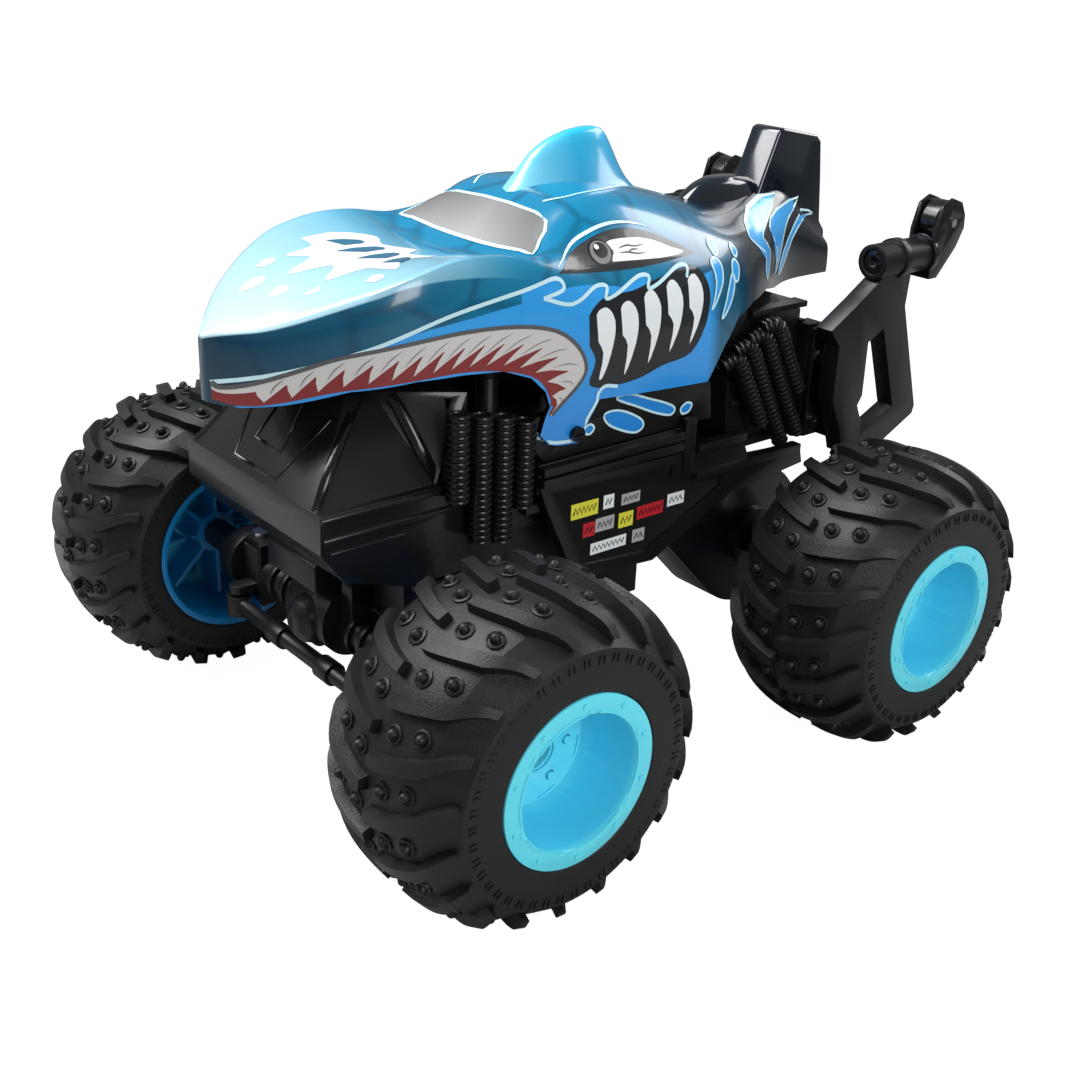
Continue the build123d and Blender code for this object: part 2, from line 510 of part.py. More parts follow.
# ---------------------------------------------------------------- body shell
# Each station: y, then (x, z) from the lower edge up to the centre line.
STATIONS = [
    (-130.0, (1.2, 128), (1.6, 150), (1.4, 160.5), (1.0, 161.6), (0.5, 161.9), (0, 162.0)),
    (-127.6, (5.5, 128), (6.0, 150), (5.2, 161.6), (3.8, 163.0), (1.9, 163.5), (0, 163.6)),
    (-124.0, (10.8, 128), (11.4, 150), (10.2, 162.2), (7.6, 164.4), (3.8, 165.2), (0, 165.4)),
    (-119.0, (17.6, 128), (18.2, 150), (17.0, 163.4), (13.0, 166.4), (6.5, 167.5), (0, 167.9)),
    (-112.0, (25.0, 128), (25.6, 152), (24.4, 167.0), (19.0, 169.8), (9.5, 171.0), (0, 171.4)),
    (-103.0, (32.0, 128), (32.6, 154), (31.3, 171.0), (25.0, 173.6), (12.0, 174.6), (0, 175.0)),
    (-92.0, (38.8, 128), (39.6, 156), (38.2, 175.3), (31.0, 177.8), (15.0, 178.2), (0, 178.2)),
    (-80.0, (42.8, 122), (43.6, 158), (42.0, 179.4), (35.0, 181.5), (17.0, 180.5), (0, 180.0)),
    (-65.0, (44.6, 112), (45.6, 158), (42.5, 182.4), (35.0, 183.6), (17.0, 181.2), (0, 180.3)),
    (-50.0, (46.2, 108), (47.0, 158), (43.4, 182.2), (35.5, 183.0), (17.0, 180.0), (0, 179.0)),
    (-36.0, (48.4, 106), (48.8, 158), (45.2, 180.0), (37.5, 180.2), (18.0, 177.6), (0, 176.8)),
    (-20.0, (50.4, 106), (50.4, 156), (45.2, 177.0), (29.5, 188.8), (15.0, 190.2), (0, 190.4)),
    (-8.0, (50.8, 106), (50.8, 156), (45.0, 177.0), (30.5, 192.6), (16.0, 195.2), (0, 196.0)),
    (8.0, (51.0, 106), (51.0, 155), (45.0, 177.0), (30.5, 192.4), (16.0, 195.6), (0, 196.6)),
    (28.0, (50.6, 106), (50.4, 153), (44.4, 175.6), (28.5, 189.6), (15.0, 193.0), (0, 194.0)),
    (48.0, (49.4, 120), (48.8, 153), (42.0, 174.0), (25.5, 185.6), (13.0, 188.6), (0, 189.4)),
    (66.0, (44.6, 140), (43.6, 154), (37.0, 172.0), (22.0, 181.2), (11.0, 183.8), (0, 184.6)),
    (84.0, (34.6, 142), (34.0, 153), (29.0, 170.0), (18.0, 178.8), (9.0, 181.4), (0, 182.0)),
    (102.0, (22.4, 142), (22.6, 154), (20.4, 170.0), (14.5, 179.0), (8.0, 182.6), (0, 183.4)),
    (120.0, (14.6, 142), (15.2, 152), (14.4, 166.0), (11.5, 176.0), (7.6, 182.0), (0, 183.6)),
    (146.0, (11.2, 142), (11.6, 150), (11.2, 158.0), (9.6, 161.0), (5.5, 163.6), (0, 164.6)),
]
LOWER_EDGE = [
    (-134, 141.5), (-124, 141.0), (-116, 143.0), (-100, 148.0), (-82, 150.2), (-66, 150.2), (-51.6, 149.3),
    (-41.3, 145.6), (-35.7, 140.2), (-33.8, 134.8), (-35.3, 131.7), (-37.0, 125.5), (-33.5, 121.8),
    (-29.6, 120.9), (-21.8, 120.6), (-18.0, 128.0), (-14.0, 134.4), (38, 131.0), (46.5, 143.0), (54, 151.0),
    (66, 154.2), (84, 154.4), (100, 150.6), (150, 148.4),
]


def smooth_half(points):
    """Half section with a point added between each pair, on a curve through all of them."""
    chain = [points[0], *points, (-points[-2][0], points[-2][1])]
    dense = []
    for index in range(1, len(chain) - 2):
        p0, p1, p2, p3 = chain[index - 1:index + 3]
        dense.append(p1)
        dense.append(tuple((9 * (b + c) - a - d) / 16 for a, b, c, d in zip(p0, p1, p2, p3)))
    return dense + [points[-1]]


def section(y, points, inset):
    """Closed section wire of the shell at y, moved inwards by inset."""
    half = [Vector(x, 0, z) for x, z in smooth_half(points)]
    last = len(half) - 1
    left = []
    for index, point in enumerate(half):
        way = (half[min(index + 1, last)] - half[max(index - 1, 0)]).normalized()
        if index == last:
            left.append((0, y, point.Z - inset))
        else:
            left.append((max(point.X - way.Z * inset, 0.3), y, point.Z + way.X * inset))
    whole = left + [(-x, y, z) for x, y, z in reversed(left[:-1])]
    return Wire(Polyline(*whole, close=True).edges())


def shell_body(inset):
    """Solid bounded by the section wires; an inset body also stops short at both ends."""
    stations = STATIONS[2:-1] if inset else STATIONS
    sections = [section(y, points, inset) for y, *points in stations]
    return Solid.make_loft(sections, ruled=True)


def dorsal_fin():
    outline = [(-15, 190), (-10.5, 197.6), (-4.8, 205.4), (2, 209.4), (9, 211.8), (19, 213.0),
               (25, 211.2), (28.6, 207.6), (33, 199.6), (41, 191.0), (41, 186), (-15, 186)]
    fin = plate_x(outline, -11.5, 11.5)
    for side in (-1, 1):
        a = Vector(side * 11.5, 0, 191)
        normal = Vector(side * 24, 0, 8.2).normalized()
        fin = split(fin, bisect_by=Plane(origin=a, z_dir=normal), keep=Keep.BOTTOM)
    return fin


def tail_fin():
    outline = [(100, 176), (106, 188.2), (113.5, 206.6), (116, 207.4), (136, 203.6), (139, 201), (141.4, 187),
               (144, 167), (148.6, 164.6), (150.4, 148.6), (110, 149.6)]
    return plate_x(outline, -7.5, 7.5)


def shell():
    outer = shell_body(0)
    inner = shell_body(WALL)
    below = plate_x([(-140, 90), *LOWER_EDGE, (160, 148.4), (160, 90)], -70, 70)
    fin = dorsal_fin()
    hump = plate_x([(72, 181), (81.5, 189.6), (90, 190.4), (108, 186), (108, 176), (72, 176)], -6.5, 6.5)
    body = outer + fin + tail_fin() + hump
    body -= inner
    body -= below
    glass_cut = windscreen_slab(0)
    body -= glass_cut
    for x, y, top in BODY_POSTS:
        body += bar_z(4.2, 140.2, top, x, y)
    for side in (-1, 1):
        body -= bar_x(1.6, side * 40, side * 60, *CHEEK_SCREW)
    return single(body)


def windscreen_slab(inset):
    """Curved-corner windscreen pane, 1.2 mm thick, set into the shell's slope."""
    base = Plane(origin=(0, -26.3, 183.6), x_dir=(1, 0, 0), z_dir=(0, -0.757, 0.653))
    pane = Polyline((-35.2 + inset, -9.4 + inset), (35.2 - inset, -9.4 + inset), (27 - inset, 7.6 - inset),
                    (-27 + inset, 7.6 - inset), close=True)
    face = base * make_face(pane)
    return extrude(face, amount=1.2, both=True)


def body_parts():
    save(shell(), "shark_shell")
    save(windscreen_slab(0.15), "windscreen")


# ---------------------------------------------------------------- stunt arms and castors
def stunt_arm():
    outer = [(92.6, 143), (108.4, 152.2), (121.4, 160.5), (126, 165), (137, 165), (135.8, 146.4),
             (151.6, 103.4), (150.8, 100.2), (133.4, 92), (108, 92), (104.6, 103), (98.4, 115), (98.4, 136.1)]
    inner = [(124.2, 139.4), (136.9, 105.7), (117.8, 97.1), (117.6, 103.1), (114, 110.3), (116.3, 114),
             (115.7, 135.1)]
    arm = plate_x(outer, 52.0, 59.5) - plate_x(inner, 50, 62)
    arm += bar_y(6.6, BOSS_Y, FORK_Y - 0.4, CASTOR_X, CASTOR_Z)
    arm += bar_y(7.6, BOSS_Y + 11.5, BOSS_Y + 15.0, CASTOR_X, CASTOR_Z)
    arm -= bar_y(3.0 + RUNNING, BOSS_Y - 3, FORK_Y + 3, CASTOR_X, CASTOR_Z)
    arm -= bar_y(4.6, BOSS_Y - 3, BOSS_Y + 3.2, CASTOR_X, CASTOR_Z)
    arm += block(ARM_FLANGE_X, ARM_FLANGE_X + 2.5, ARM_FLANGE_Y - 3.7, 112, 97, 140)
    for z in ARM_SCREW_Z:
        arm -= bar_x(SCREW_RADIUS, 40, 49, ARM_FLANGE_Y, z)
    arm += block(ARM_FLANGE_X + 2.5, 52.0, 106.5, 112, 97, 138)
    return single(arm)


def castor_fork():
    fork = bar_y(7.6, FORK_Y, FORK_Y + 2.6, CASTOR_X, CASTOR_Z)
    fork += bar_y(3.0, BOSS_Y + 0.6, FORK_Y, CASTOR_X, CASTOR_Z)
    fork += bar_y(4.3, BOSS_Y + 0.6, BOSS_Y + 2.9, CASTOR_X, CASTOR_Z)
    fork -= bar_y(1.6, BOSS_Y, BOSS_Y + 1.8, CASTOR_X, CASTOR_Z)
    cheek = [(FORK_Y, 156), (150, 156), (160, 167), (CASTOR_REAR_Y, 174), (CASTOR_REAR_Y - 0.6, 179),
             (160, 184), (154, 186), (148, 183.4), (FORK_Y, 174)]
    for x0, x1 in ((50.2, 51.6), (60.4, 61.8)):
        fork += plate_x(cheek, x0, x1)
    fork += block(50.2, 61.8, FORK_Y, FORK_Y + 2.6, 156, 166)
    fork -= bar_x(1.6, 40, 70, CASTOR_WHEEL_Y, CASTOR_WHEEL_Z)
    return single(fork)


def castors():
    arm = stunt_arm()
    fork = castor_fork()
    wheel = bar_x(CASTOR_WHEEL_RADIUS, 52.0, 60.0, CASTOR_WHEEL_Y, CASTOR_WHEEL_Z)
    wheel = fillet(wheel.edges().filter_by(GeomType.CIRCLE), 1.2)
    wheel -= bar_x(1.6 + RUNNING, 50, 62, CASTOR_WHEEL_Y, CASTOR_WHEEL_Z)
    pin = bar_x(1.6, 49.4, 62.6, CASTOR_WHEEL_Y, CASTOR_WHEEL_Z)
    pieces = {"stunt_arm": arm, "castor_fork": fork, "castor_wheel": wheel, "castor_pin": pin}
    for name, piece in pieces.items():
        save(piece, f"{name}_left")
        save(right(piece), f"{name}_right")


# ---------------------------------------------------------------- fasteners
def screw_x(x, y, z, length, head=2.6, shank=SCREW_RADIUS):
    """Pan-head screw on the left side, driven towards -X, head seated at x."""
    screw = bar_x(head, x, x + 1.6, y, z) + bar_x(shank, x - length, x, y, z)
    return screw - block(x + 1.0, x + 2.0, y - 1.6, y + 1.6, z - 0.3, z + 0.3)


def screws():
    save(both(screw_x(50.7, *CHEEK_SCREW, length=5.4)), "cheek_screws")
    arm = [screw_x(ARM_FLANGE_X + 2.5, ARM_FLANGE_Y, z, length=6.0) for z in ARM_SCREW_Z]
    save(Compound(children=arm + [right(screw) for screw in arm]), "arm_screws")


wheel_set("front_left", HALF_TRACK, FRONT_Y, STUB_RADIUS + RUNNING)
wheel_set("front_right", -HALF_TRACK, FRONT_Y, STUB_RADIUS + RUNNING)
wheel_set("rear_left", HALF_TRACK, REAR_Y, AXLE_RADIUS)
wheel_set("rear_right", -HALF_TRACK, REAR_Y, AXLE_RADIUS)
save(wheel_nut(1, FRONT_Y, STUB_RADIUS, GAP), "wheel_nut_front_left")
save(wheel_nut(-1, FRONT_Y, STUB_RADIUS, GAP), "wheel_nut_front_right")
rear_nuts = [wheel_nut(side, REAR_Y, AXLE_RADIUS) for side in (1, -1)]
save(Compound(children=rear_nuts), "rear_wheel_nuts")
drive_train()
gearbox()
front_axle()
steering()
chassis()
cowl()
side_parts()
pipes()
body_parts()
castors()
screws()
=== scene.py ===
"""Looks of a shark-bodied stunt truck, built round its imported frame.

Shape points are in millimetres about the middle of the wheelbase at ground level,
+X to the truck's left and -Y to its front; at() turns them into frame metres.
"""
import json
from math import cos, pi, radians, sin

import bmesh
import bpy
from bpy.props import FloatProperty, FloatVectorProperty, IntProperty, PointerProperty
from mathutils import Matrix, Vector
from mathutils.bvhtree import BVHTree
from mathutils.geometry import tessellate_polygon

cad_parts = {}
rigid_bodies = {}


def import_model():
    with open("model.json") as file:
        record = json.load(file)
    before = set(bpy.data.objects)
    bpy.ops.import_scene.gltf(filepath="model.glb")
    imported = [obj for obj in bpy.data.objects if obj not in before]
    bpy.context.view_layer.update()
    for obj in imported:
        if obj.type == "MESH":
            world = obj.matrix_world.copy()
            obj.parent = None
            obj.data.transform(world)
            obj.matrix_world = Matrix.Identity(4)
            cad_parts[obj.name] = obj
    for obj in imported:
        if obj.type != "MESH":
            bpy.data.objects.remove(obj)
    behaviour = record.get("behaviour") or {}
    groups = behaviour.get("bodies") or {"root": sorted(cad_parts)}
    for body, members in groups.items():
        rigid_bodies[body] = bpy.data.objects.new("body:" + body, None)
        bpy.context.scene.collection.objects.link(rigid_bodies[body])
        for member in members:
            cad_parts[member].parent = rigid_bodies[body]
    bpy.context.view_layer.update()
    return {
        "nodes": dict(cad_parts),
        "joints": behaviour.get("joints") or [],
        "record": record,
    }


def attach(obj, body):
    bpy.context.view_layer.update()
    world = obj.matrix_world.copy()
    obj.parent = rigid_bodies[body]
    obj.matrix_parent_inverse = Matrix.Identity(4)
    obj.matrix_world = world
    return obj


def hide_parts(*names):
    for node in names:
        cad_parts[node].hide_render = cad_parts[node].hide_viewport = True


bl_info = {
    "name": "Shark stunt truck",
    "version": (1, 0, 0),
    "blender": (4, 5, 0),
    "location": "3D View > Sidebar > Stunt Truck",
    "description": "Builds the tyres, rims, shell, trim and print of a shark-bodied stunt truck",
    "category": "Object",
}

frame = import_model()
MM = 0.001
JOINT = {joint["name"]: joint for joint in frame["joints"]}
FRONT_HUB = Vector(JOINT["wheel_front_left_spin"]["pos_m"]) / MM
REAR_HUB = Vector(JOINT["rear_axle_spin"]["pos_m"]) / MM
MID_Y = (FRONT_HUB.y + REAR_HUB.y) / 2
HALF_TRACK = FRONT_HUB.x
AXLE_Z = FRONT_HUB.z
CHASSIS = "chassis"
WHEELS = {
    "front_left": (1, FRONT_HUB.y, "wheel_front_left"),
    "front_right": (-1, FRONT_HUB.y, "wheel_front_right"),
    "rear_left": (1, REAR_HUB.y, "rear_axle"),
    "rear_right": (-1, REAR_HUB.y, "rear_axle"),
}


def at(x, y, z):
    """A point in millimetres about the wheelbase middle, in frame metres."""
    return Vector((x * MM, (y + MID_Y) * MM, z * MM))


# ---------------------------------------------------------------- settings
def colour_setting(name, text, value):
    return FloatVectorProperty(name=name, description=text, default=value, size=3, min=0, max=1,
                               subtype="COLOR")


def length_setting(name, text, value):
    return FloatProperty(name=name, description=text, default=value * MM, min=0, unit="LENGTH")


class TyreSettings(bpy.types.PropertyGroup):
    lug_count: IntProperty(name="Lugs", description="Lugs on each half of a tyre", default=19, min=8, max=40)
    lug_height: length_setting("Lug height", "Height of a lug over the carcass", 3.2)
    sweep: FloatProperty(name="Sweep", description="Turn of a lug from crown to shoulder",
                         default=radians(-11), subtype="ANGLE")


class PaintSettings(bpy.types.PropertyGroup):
    rim: colour_setting("Rim", "Rims, outer side", (0.08, 0.66, 0.93))
    deep: colour_setting("Deep blue", "Nose and lower flanks above the wave", (0.0, 0.034, 0.07))
    teal: colour_setting("Teal", "Flanks and roof above the wave", (0.0, 0.185, 0.35))
    bright: colour_setting("Bright blue", "Flanks below the wave", (0.022, 0.262, 0.75))
    night: colour_setting("Night blue", "Rear body and tail", (0.0015, 0.006, 0.0135))


class PipeSettings(bpy.types.PropertyGroup):
    pitch: length_setting("Ring pitch", "Distance between two rings of a pipe", 2.1)
    front_radius: length_setting("Front pipe", "Outer radius of the pipes ahead of the cab", 3.9)
    rear_radius: length_setting("Rear pipe", "Outer radius of the pipes behind the cab", 3.3)


# ---------------------------------------------------------------- materials
class Shader:
    """One material and short calls that add nodes to it."""

    def __init__(self, name, colour, roughness, metallic=0.0, coat=0.0, specular=0.5):
        self.material = bpy.data.materials.new(name)
        self.material.use_nodes = True
        self.tree = self.material.node_tree
        self.body = self.tree.nodes["Principled BSDF"]
        self.body.inputs["Base Color"].default_value = (*colour, 1)
        self.body.inputs["Roughness"].default_value = roughness
        self.body.inputs["Metallic"].default_value = metallic
        self.body.inputs["Coat Weight"].default_value = coat
        self.body.inputs["Coat Roughness"].default_value = 0.08
        self.body.inputs["Specular IOR Level"].default_value = specular
        self.place = self.tree.nodes.new("ShaderNodeTexCoord").outputs["Object"]

    def node(self, kind, **inputs):
        made = self.tree.nodes.new(kind)
        for name, value in inputs.items():
            self.feed(made.inputs[name.replace("_", " ")], value)
        return made

    def feed(self, socket, value):
        if isinstance(value, bpy.types.NodeSocket):
            self.tree.links.new(value, socket)
        else:
            socket.default_value = value

    def math(self, operation, a, b=0.0, clamp=False):
        made = self.tree.nodes.new("ShaderNodeMath")
        made.operation = operation
        made.use_clamp = clamp
        self.feed(made.inputs[0], a)
        self.feed(made.inputs[1], b)
        return made.outputs[0]

    def mix(self, share, a, b):
        made = self.tree.nodes.new("ShaderNodeMix")
        made.data_type = "RGBA"
        for socket, value in ((made.inputs[0], share), (made.inputs[6], a), (made.inputs[7], b)):
            if isinstance(value, tuple) and len(value) == 3:
                value = (*value, 1)
            self.feed(socket, value)
        return made.outputs[2]

    def axes(self):
        """Object position in millimetres about the wheelbase middle."""
        split = self.node("ShaderNodeSeparateXYZ", Vector=self.place)
        x = self.math("ABSOLUTE", self.math("DIVIDE", split.outputs[0], MM))
        y = self.math("SUBTRACT", self.math("DIVIDE", split.outputs[1], MM), MID_Y)
        return x, y, self.math("DIVIDE", split.outputs[2], MM)

    def curve(self, value, points):
        """A smooth line through (in, out) points, both in millimetres."""
        low_in, high_in = points[0][0], points[-1][0]
        outs = [out for _, out in points]
        low_out, high_out = min(outs) - 1, max(outs) + 1
        share = self.math("DIVIDE", self.math("SUBTRACT", value, low_in), high_in - low_in, clamp=True)
        made = self.node("ShaderNodeFloatCurve", Value=share)
        line = made.mapping.curves[0]
        while len(line.points) < len(points):
            line.points.new(0.5, 0.5)
        for point, (inner, outer) in zip(line.points, points):
            point.location = ((inner - low_in) / (high_in - low_in), (outer - low_out) / (high_out - low_out))
        made.mapping.update()
        scaled = self.math("MULTIPLY", made.outputs[0], high_out - low_out)
        return self.math("ADD", scaled, low_out)

    def above(self, value, edge, soft=0.25):
        """0 below the edge and 1 above it, over a narrow band."""
        step = self.math("DIVIDE", self.math("SUBTRACT", value, edge), 2 * soft)
        return self.math("ADD", step, 0.5, clamp=True)

    def noise(self, scale, detail=3.0):
        return self.node("ShaderNodeTexNoise", Vector=self.place, Scale=scale, Detail=detail).outputs["Fac"]

    def grain(self, scale, depth, strength=1.0):
        bump = self.node("ShaderNodeBump", Height=self.noise(scale), Distance=depth, Strength=strength)
        self.tree.links.new(bump.outputs[0], self.body.inputs["Normal"])

    def wear(self, low, high, scale=60.0):
        """Roughness that drifts a little over the piece."""
        span = self.math("MULTIPLY", self.noise(scale), high - low)
        self.tree.links.new(self.math("ADD", span, low), self.body.inputs["Roughness"])

    def paint(self, colour):
        self.tree.links.new(colour, self.body.inputs["Base Color"])


def plain(name, colour, roughness, grain=None, **extra):
    shader = Shader(name, colour, roughness, **extra)
    if grain:
        shader.grain(*grain)
    return shader.material


def make_tyre_rubber():
    shader = Shader("tyre rubber", (0.009, 0.0092, 0.0096), 0.45, specular=0.34)
    shader.wear(0.38, 0.52, 120.0)
    shader.grain(1500.0, 0.0002, 0.6)
    return shader.material


def make_black(name, roughness, shade=0.006, coat=0.0):
    shader = Shader(name, (shade, shade, shade * 1.08), roughness, coat=coat, specular=0.36)
    shader.wear(roughness - 0.05, roughness + 0.07, 45.0)
    shader.grain(2400.0, 0.00008, 0.35)
    return shader.material


def make_rim_plastic_painted_light(paint):
    """Bright outer side with painted light: the inner side and the ribs get a deeper blue as painted shade,
    the band round the hub and the outer lip a lighter blue as painted highlight.
    """
    shader = Shader("rim plastic", paint.rim, 0.3, coat=0.4)
    x, _, _ = shader.axes()
    # Painted shade: deeper blue inboard of the wheel's middle; painted highlight: lighter blue round the hub.
    outer = shader.above(x, HALF_TRACK + 2.0, 3.0)
    barrel = shader.above(x, HALF_TRACK + 13.0, 2.0)
    outside = shader.mix(barrel, (0.12, 0.74, 0.93), tuple(paint.rim))
    rim = shader.mix(outer, (0.0, 0.2, 0.5), outside)
    # Painted highlight: a lighter blue on the outer lip.
    lip = shader.above(x, HALF_TRACK + 29.2, 1.0)
    shader.paint(shader.mix(lip, rim, (0.12, 0.77, 0.93)))
    return shader.material


WAVE_LINE = [(-131, 138), (-124, 142), (-118, 149.6), (-111.7, 153.4), (-102, 158.6), (-84, 164.6),
             (-62, 167.6), (-40, 170.4), (-26, 172.6), (-4, 170), (12, 166), (30, 168), (58, 173)]
HOOD_EDGE = [(-130, 161), (-127.6, 162.2), (-124, 163.3), (-119, 164.8), (-112, 167.8), (-103, 171.6),
             (-92, 175.8), (-80, 179), (-65, 179.4), (-50, 178), (-36, 175.8)]
FLANK_FOOT = 120
FLANK_RISE = 45


def flank_blue(shader, z, bright):
    """The blue under the wave, lighter towards the top."""
    high = shader.math("DIVIDE", shader.math("SUBTRACT", z, FLANK_FOOT), FLANK_RISE, clamp=True)
    return shader.mix(high, bright, (0.03, 0.36, 0.84))


def make_splash(paint):
    shader = Shader("bright splash", paint.bright, 0.24, coat=0.55, specular=0.4)
    _, _, z = shader.axes()
    shader.paint(flank_blue(shader, z, tuple(paint.bright)))
    return shader.material


def make_shell_paint(paint):
    """Painted highlight on the hood top (pale at the front, bluer rearwards), teal flanks, a pale wave line
    with bright blue under it, night-blue rear.
    """
    shader = Shader("shell paint", paint.teal, 0.24, coat=0.55, specular=0.4)
    _, y, z = shader.axes()
    deep, teal, bright = tuple(paint.deep), tuple(paint.teal), tuple(paint.bright)
    night = tuple(paint.night)
    sky = (0.015, 0.28, 0.46)

    rearwards = shader.math("DIVIDE", shader.math("ADD", y, 128), 80, clamp=True)
    flank = shader.mix(rearwards, deep, teal)
    flank = shader.mix(shader.above(y, 44, 26), flank, (0.0, 0.035, 0.075))

    ridged = shader.node("ShaderNodeTexVoronoi", Vector=shader.place, Scale=34.0)
    ridged.feature = "DISTANCE_TO_EDGE"
    crack = shader.math("SUBTRACT", 1.0, shader.above(ridged.outputs["Distance"], 0.045, 0.03))
    flank = shader.mix(shader.math("MULTIPLY", crack, 0.42), flank, (0.0, 0.03, 0.07))

    # Painted highlight: a pale sheen on the top of the nose above the hood edge, fading to sky blue towards
    # the windscreen.
    painted_sheen_share = shader.math("DIVIDE", shader.math("ADD", y, 126), 84, clamp=True)
    hood = shader.mix(painted_sheen_share, (0.5, 0.72, 0.79), sky)
    on_top = shader.above(z, shader.curve(y, HOOD_EDGE), 0.25)
    back = shader.math("SUBTRACT", 1.0, shader.above(y, -48, 14))
    painted_sheen_mask = shader.math("MULTIPLY", on_top, back)
    upper = shader.mix(painted_sheen_mask, flank, hood)

    edge = shader.curve(y, WAVE_LINE)
    under = shader.above(edge, z, 0.2)
    front_part = shader.math("SUBTRACT", 1.0, shader.above(y, 40, 3))
    under = shader.math("MULTIPLY", under, front_part)
    body = shader.mix(under, upper, flank_blue(shader, z, bright))
    shader.paint(shader.mix(shader.above(y, 62, 9), body, night))
    return shader.material


def make_windscreen():
    shader = Shader("windscreen print", (0.5, 0.5, 0.5), 0.22, coat=0.6)
    x, _, z = shader.axes()
    high = shader.math("DIVIDE", shader.math("SUBTRACT", z, 177), 13, clamp=True)
    aside = shader.math("DIVIDE", x, 36, clamp=True)
    share = shader.math("MULTIPLY", shader.math("ADD", high, aside), 0.5)
    shader.paint(shader.mix(share, (0.42, 0.415, 0.41), (0.1, 0.1, 0.104)))
    return shader.material


def make_fin_paint(paint):
    shader = Shader("fin paint", paint.bright, 0.22, coat=0.6)
    _, y, z = shader.axes()
    high = shader.math("DIVIDE", shader.math("SUBTRACT", z, 186), 27, clamp=True)
    front = shader.math("SUBTRACT", 1.0, shader.math("DIVIDE", shader.math("ADD", y, 18), 30, clamp=True))
    side = shader.mix(high, (0.0, 0.22, 0.46), (0.02, 0.48, 0.78))
    shader.paint(shader.mix(front, side, (0.26, 0.7, 0.86)))
    return shader.material


def make_materials():
    paint = bpy.context.scene.truck_paint
    white = (0.86, 0.9, 0.92)
    return {
        "tyre": make_tyre_rubber(),
        "rim": make_rim_plastic_painted_light(paint),
        "satin": make_black("satin black plastic", 0.36),
        "gloss": make_black("gloss black plastic", 0.2, 0.006, coat=0.3),
        "cowl": make_black("cowl plastic", 0.28, 0.009, coat=0.2),
        "pipe": make_black("pipe plastic", 0.26, 0.009),
        "inside": make_black("shell inside", 0.5, 0.004),
        "shell": make_shell_paint(paint),
        "fin": make_fin_paint(paint),
        "night": plain("night blue gloss", tuple(paint.night), 0.16, coat=1.0),
        "windscreen": make_windscreen(),
        "pale": plain("pale outline", (0.6, 0.88, 0.97), 0.3, coat=0.5),
        "bright": make_splash(paint),
        "white": plain("white print", white, 0.3, coat=0.5),
        "ink": plain("ink print", (0.003, 0.005, 0.009), 0.3, coat=0.5),
        "gum": plain("gum print", (0.23, 0.013, 0.014), 0.35, coat=0.4),
        "tooth": plain("tooth print", (0.63, 0.61, 0.6), 0.3, coat=0.4),
        "groove": plain("tooth groove", (0.2, 0.2, 0.2), 0.4),
        "lip": plain("lip print", (0.09, 0.09, 0.095), 0.4, coat=0.3),
        "iris": plain("iris print", (0.2, 0.2, 0.21), 0.3, coat=0.5),
        "lid": plain("eye lid print", (0.035, 0.035, 0.038), 0.3, coat=0.5),
        "sea": plain("sea blue print", (0.005, 0.12, 0.22), 0.3, coat=0.5),
        "yellow": plain("yellow patch", (0.75, 0.72, 0.06), 0.35),
        "red": plain("red patch", (0.5, 0.02, 0.03), 0.35),
        "grey": plain("grey patch", (0.42, 0.42, 0.43), 0.35),
        "steel": plain("bright steel", (0.5, 0.5, 0.52), 0.25, metallic=1.0),
        "dark_steel": plain("blackened steel", (0.035, 0.036, 0.04), 0.35, metallic=1.0),
        "bronze": plain("sintered bronze", (0.5, 0.33, 0.15), 0.4, metallic=1.0),
        "nylon": plain("natural nylon", (0.76, 0.74, 0.68), 0.45),
        "wrap": plain("battery film", (0.03, 0.1, 0.4), 0.25),
        "board": plain("solder mask", (0.01, 0.12, 0.04), 0.3),
    }


# ---------------------------------------------------------------- meshes
def show(name, mesh, material):
    piece = bpy.data.objects.new(name, mesh)
    bpy.context.scene.collection.objects.link(piece)
    if material is not None:
        mesh.materials.clear()
        mesh.materials.append(material)
    return piece


def build(name, points, faces, material, outward=True, crease=35):
    """Object from frame points; outward makes the faces of a closed shape point out."""
    mesh = bpy.data.meshes.new(name)
    mesh.from_pydata([tuple(point) for point in points], [], faces)
    if outward:
        form = bmesh.new()
        form.from_mesh(mesh)
        bmesh.ops.remove_doubles(form, verts=form.verts, dist=1e-6)
        bmesh.ops.recalc_face_normals(form, faces=form.faces)
        form.to_mesh(mesh)
        form.free()
    soften(mesh, crease)
    return show(name, mesh, material)


def soften(mesh, crease):
    mesh.polygons.foreach_set("use_smooth", [True] * len(mesh.polygons))
    mesh.set_sharp_from_angle(angle=radians(crease))


def settle(piece):
    """Turn live modifiers into the piece's own mesh."""
    graph = bpy.context.evaluated_depsgraph_get()
    mesh = bpy.data.meshes.new_from_object(piece.evaluated_get(graph), depsgraph=graph)
    if piece.type == "MESH":
        piece.modifiers.clear()
        piece.data = mesh
        return piece
    name = piece.name
    bpy.data.objects.remove(piece)
    return show(name, mesh, None)


def fit(piece, body, slot, *nodes):
    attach(piece, body)
    if nodes:
        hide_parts(*nodes)
    return piece


def join(name, pieces):
    """One object out of several, materials kept."""
    form = bmesh.new()
    whole = bpy.data.meshes.new(name)
    for piece in pieces:
        offset = len(whole.materials)
        for material in piece.data.materials:
            whole.materials.append(material)
        start = len(form.faces)
        form.from_mesh(piece.data)
        form.faces.ensure_lookup_table()
        for face in form.faces[start:]:
            face.material_index += offset
        bpy.data.objects.remove(piece)
    form.to_mesh(whole)
    form.free()
    return show(name, whole, None)


